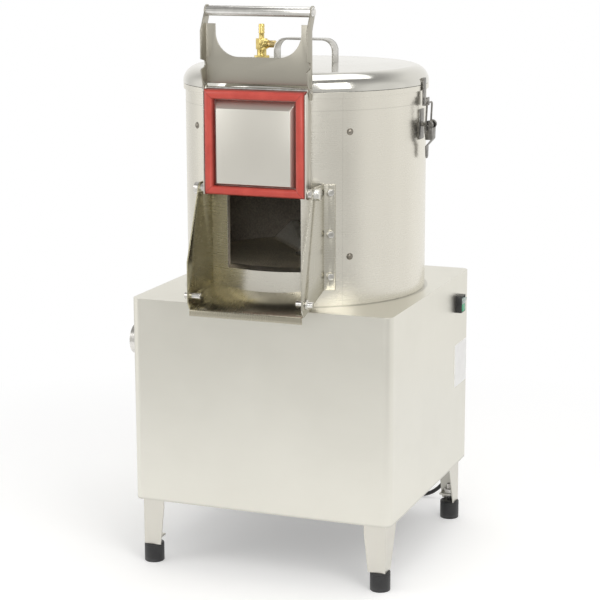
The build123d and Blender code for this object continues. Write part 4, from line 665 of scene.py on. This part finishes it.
def rubber_foot():
    """One moulded round foot: a groove under its head and softened upper and tread edges."""
    low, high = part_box("rubber_feet")
    radius = foot_width / 2 * mm
    groove_middle = low.z + sum(foot_groove) / 2 * mm

    def groove_wall(middle, face):
        return abs(middle.z - groove_middle) < groove_slack and abs(face.normal.z) < 0.1

    def rim(middle, edge):
        ends = [vertex.co.z for vertex in edge.verts]
        return any(all(abs(end - level) < level_slack for end in ends) for level in (low.z, high.z))

    def tread(middle, face):
        return middle.z < low.z + level_slack and face.calc_area() > smallest_tread_face

    bpy.ops.object.select_all(action="DESELECT")
    bpy.ops.mesh.primitive_cylinder_add(
        vertices=foot_sides,
        radius=radius,
        depth=high.z - low.z,
        location=(low.x + radius, low.y + radius, (low.z + high.z) / 2),
    )
    thing = begin("rubber_foot")
    for height in foot_groove:
        bpy.ops.mesh.select_all(action="SELECT")
        bpy.ops.mesh.bisect(plane_co=(0, 0, low.z + height * mm), plane_no=(0, 0, 1))
    pick(thing, "FACE", groove_wall)
    bpy.ops.mesh.extrude_region_shrink_fatten(TRANSFORM_OT_shrink_fatten={"value": -foot_groove_depth * mm})
    pick(thing, "EDGE", rim)
    bpy.ops.mesh.bevel(offset=foot_edge * mm, segments=foot_edge_steps, profile=0.5, affect="EDGES")
    pick(thing, "FACE", tread)
    bpy.ops.mesh.inset(thickness=foot_tread * mm, depth=-foot_tread_depth * mm)
    bpy.ops.object.mode_set(mode="OBJECT")
    return thing


def rubber_feet():
    """The four feet, one modelled and three copied, under the corner legs."""
    low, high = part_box("rubber_feet")
    first = rubber_foot()
    across, deep = high.x - low.x - foot_width * mm, high.y - low.y - foot_width * mm
    feet = [first]
    for shift in ((across, 0, 0), (0, deep, 0), (across, deep, 0)):
        foot = first.copy()
        foot.data = first.data.copy()
        foot.data.transform(Matrix.Translation(shift))
        feet.append(link(foot))
    only(first)
    for foot in feet[1:]:
        foot.select_set(True)
    bpy.ops.object.join()
    first.name = "rubber_feet_set"
    bpy.ops.object.mode_set(mode="EDIT")
    close(first, "rubber", body_of(nodes["rubber_feet"])[0], "rubber_feet")


def soften(node, width):
    """A copy of a solid with its seams merged, its flat faces joined and its sharp edges rounded."""
    source = nodes[node]
    thing = source.copy()
    thing.data = source.data.copy()
    thing.data.transform(source.matrix_world)
    thing.parent = None
    thing.matrix_world = Matrix.Identity(4)
    thing.name = node + "_softened"
    only(link(thing))
    bpy.ops.object.mode_set(mode="EDIT")
    bpy.ops.mesh.select_all(action="SELECT")
    bpy.ops.mesh.remove_doubles(threshold=seam_merge)
    bpy.ops.mesh.normals_make_consistent(inside=False)
    bpy.ops.mesh.dissolve_limited(angle_limit=flat_angle)
    bpy.ops.object.mode_set(mode="OBJECT")
    bevel = thing.modifiers.new("edge", "BEVEL")
    bevel.width = width * mm
    bevel.segments = softened_steps
    bevel.limit_method = "ANGLE"
    bevel.angle_limit = sharp_angle
    bpy.ops.object.modifier_apply(modifier="edge")
    bpy.ops.object.mode_set(mode="EDIT")
    close(thing, node_finish[node], body_of(source)[0], node)


# How wide the rounded edge of each solid is, in millimetres
softened_edges = {
    "chute_bolts": 0.5, "door_pivot_bolts": 0.5, "latch_pins": 0.5, "liner_screws": 0.3,
    "foot_bolts": 0.4, "lid_handle": 0.4, "latch_base": 0.25, "latch_lever": 0.25,
    "latch_catch": 0.25, "lever_handle_bar": 0.3, "valve_body": 0.3, "valve_spindle": 0.3,
    "switch_housing": 0.5, "switch_rocker": 0.5, "mains_plug": 0.8, "cable_gland": 0.4,
    "door_pan": 0.35, "door_plug": 0.35, "locking_lever": 0.4, "chute_side_left": 0.35,
    "chute_side_right": 0.35, "chute_tray": 0.35, "motor_bracket": 0.4, "rear_cover_screws": 0.2,
}


# Mains lead


def coil_point(turn):
    """A place on the coil's centre line, counted in turns from its start."""
    top = layer_turns + climb_turns
    inner = coil_radius - coil_pitch * layer_turns
    if turn <= layer_turns:
        radius, rise = coil_radius - coil_pitch * turn, 0
    elif turn <= top:
        part = (turn - layer_turns) / climb_turns
        radius = inner - coil_pitch * climb_turns * (part - part**2)
        rise = coil_pitch * (3 * part**2 - 2 * part**3)
    else:
        radius, rise = inner + coil_pitch * (turn - top), coil_pitch
    angle = -math.pi / 2 - 2 * math.pi * turn
    x = coil_middle.x + radius * math.cos(angle)
    y = coil_middle.y + radius * math.sin(angle)
    return (x, y, lead_height + rise)


def coil_points(count=16):
    """The coil's route, a little outside its line so that the spline runs on it."""
    total = 2 * layer_turns + climb_turns
    swell = 1 / math.cos(math.pi / count) ** 0.7
    route = []
    for number in range(1, round(total * count)):
        x, y, z = coil_point(number / count)
        outwards = (Vector((x, y)) - coil_middle) * swell
        route.append((*(coil_middle + outwards), z))
    return route


def mains_lead():
    """The whole lead as one spline: down from the gland, along the floor and round the coil."""
    coil_y = coil_middle.y - coil_radius
    over = lead_height + coil_pitch
    route = [
        gland,
        (0.178, 0.282, 0.140),
        (0.176, 0.309, 0.100),
        (0.169, 0.303, 0.060),
        (0.159, 0.289, 0.027),
        (0.129, 0.284, lead_height),
        (0.084, 0.286, lead_height),
        (0.022, 0.293, lead_height),
        (-0.020, coil_y, lead_height),
        (-0.053, coil_y, lead_height),
    ]
    route += coil_points()
    route += [(-0.060, coil_y, over), (-0.076, coil_y, over)]
    data = bpy.data.curves.new("mains_lead", "CURVE")
    data.dimensions = "3D"
    data.resolution_u = 8
    data.bevel_depth = lead_height
    data.bevel_resolution = 4
    data.use_fill_caps = True
    spline = data.splines.new("NURBS")
    spline.points.add(len(route) - 1)
    for point, spot in zip(spline.points, route):
        point.co = (*spot, 1)
    spline.order_u = 3
    spline.use_endpoint_u = True
    lead = link(bpy.data.objects.new("mains_lead", data))
    data.materials.append(materials["cord"])
    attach(lead, "body")
    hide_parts("cord_run", "cord_coil")


# Studio


def floor():
    """A pale floor that keeps the object's shadow and fades into the white around it."""
    bpy.ops.object.select_all(action="DESELECT")
    bpy.ops.mesh.primitive_circle_add(vertices=64, radius=floor_reach, fill_type="NGON")
    thing = bpy.context.object
    thing.name = "floor"
    material = bpy.data.materials.new("floor")
    material.use_nodes = True
    tree = material.node_tree
    tree.nodes.remove(tree.nodes["Principled BSDF"])
    web = Web(tree)
    diffuse = web.node("ShaderNodeBsdfDiffuse", {}, {"Color": (0.80, 0.80, 0.80)})
    glow = web.node("ShaderNodeEmission", {}, {"Color": (1, 1, 1)})
    lift = web.node("ShaderNodeEmission", {}, {"Strength": floor_lift})
    both = web.node("ShaderNodeAddShader", {}, {0: diffuse, 1: lift})
    fade = {"Value": web.length(web.place), "From Min": floor_fade[0], "From Max": floor_fade[1]}
    seen = web.ray("Is Camera Ray").most(web.ray("Is Glossy Ray"))
    far = web.node("ShaderNodeMapRange", {}, fade) * seen
    surface = web.either(far, web.either(seen, diffuse, both), glow)
    put(tree, tree.nodes["Material Output"].inputs["Surface"], surface)
    thing.data.materials.append(material)


def world():
    """White where it is seen, with softer and greyer quarters where it is mirrored, and dimmer as light."""
    sky = bpy.data.worlds.new("studio")
    sky.use_nodes = True
    tree = sky.node_tree
    web = Web(tree, "Generated")
    quarter = math.radians(97)
    right = web.steps(web.along((math.sin(quarter), -math.cos(quarter), 0.0)), 0.80, 0.96, 0.0, 0.26)
    left = web.steps(web.along((-0.97, -0.24, 0.0)), 0.70, 0.97, 0.0, 0.40)
    behind = web.steps(web.along((0.0, 1.0, 0.0)), 0.25, 0.85, 0.0, 0.36)
    above = web.steps(web.along((0.0, 0.0, 1.0)), 0.45, 0.85, 1.0, 0.55)
    strength = ((right + left + behind + 0.64) * above).least(1.0)
    white = tree.nodes["Background"]
    white.inputs["Color"].default_value = (1, 1, 1, 1)
    lit = web.node("ShaderNodeBackground", {}, {"Color": (1.0, 0.99, 0.97), "Strength": 0.55})
    mirrored = web.node("ShaderNodeBackground", {}, {"Color": (1.0, 0.99, 0.965), "Strength": strength})
    gloss = web.ray("Is Glossy Ray").most(web.ray("Is Transmission Ray"))
    unseen = web.either(gloss, lit, mirrored)
    surface = web.either(web.ray("Is Camera Ray"), unseen, Flow(tree, white.outputs[0]))
    put(tree, tree.nodes["World Output"].inputs["Surface"], surface)
    scene.world = sky


def lamp(name, spot, aim, size, power, colour=(1, 1, 1)):
    """A large soft lamp at a place, aimed at another."""
    data = bpy.data.lights.new(name, "AREA")
    data.shape = "RECTANGLE"
    data.size, data.size_y = size
    data.energy = power
    data.color = colour
    thing = link(bpy.data.objects.new(name, data))
    thing.location = spot
    thing.rotation_euler = (Vector(aim) - Vector(spot)).to_track_quat("-Z", "Y").to_euler()


def studio():
    """The floor, the sky and five lamps."""
    floor()
    world()
    lamp("key", (1.9, -1.7, 2.3), (0, 0, 0.45), (1.4, 1.6), 30, (1.0, 0.985, 0.96))
    lamp("fill", (-2.2, -1.8, 1.4), (0, 0, 0.45), (1.6, 1.8), 12)
    lamp("top", (0.2, 0.3, 2.9), (0, 0, 0.6), (1.8, 1.8), 18)
    lamp("near", (0.95, -2.9, 1.25), (0, -0.2, 0.55), (0.5, 0.5), 4)
    lamp("mouth", (0.30, -1.35, 0.85), (0, 0, 0.52), (0.35, 0.35), 1.5)


place_camera()
gasket()
rubber_feet()
for name, width in softened_edges.items():
    soften(name, width)
mains_lead()
studio()

scene.view_settings.view_transform = "Standard"
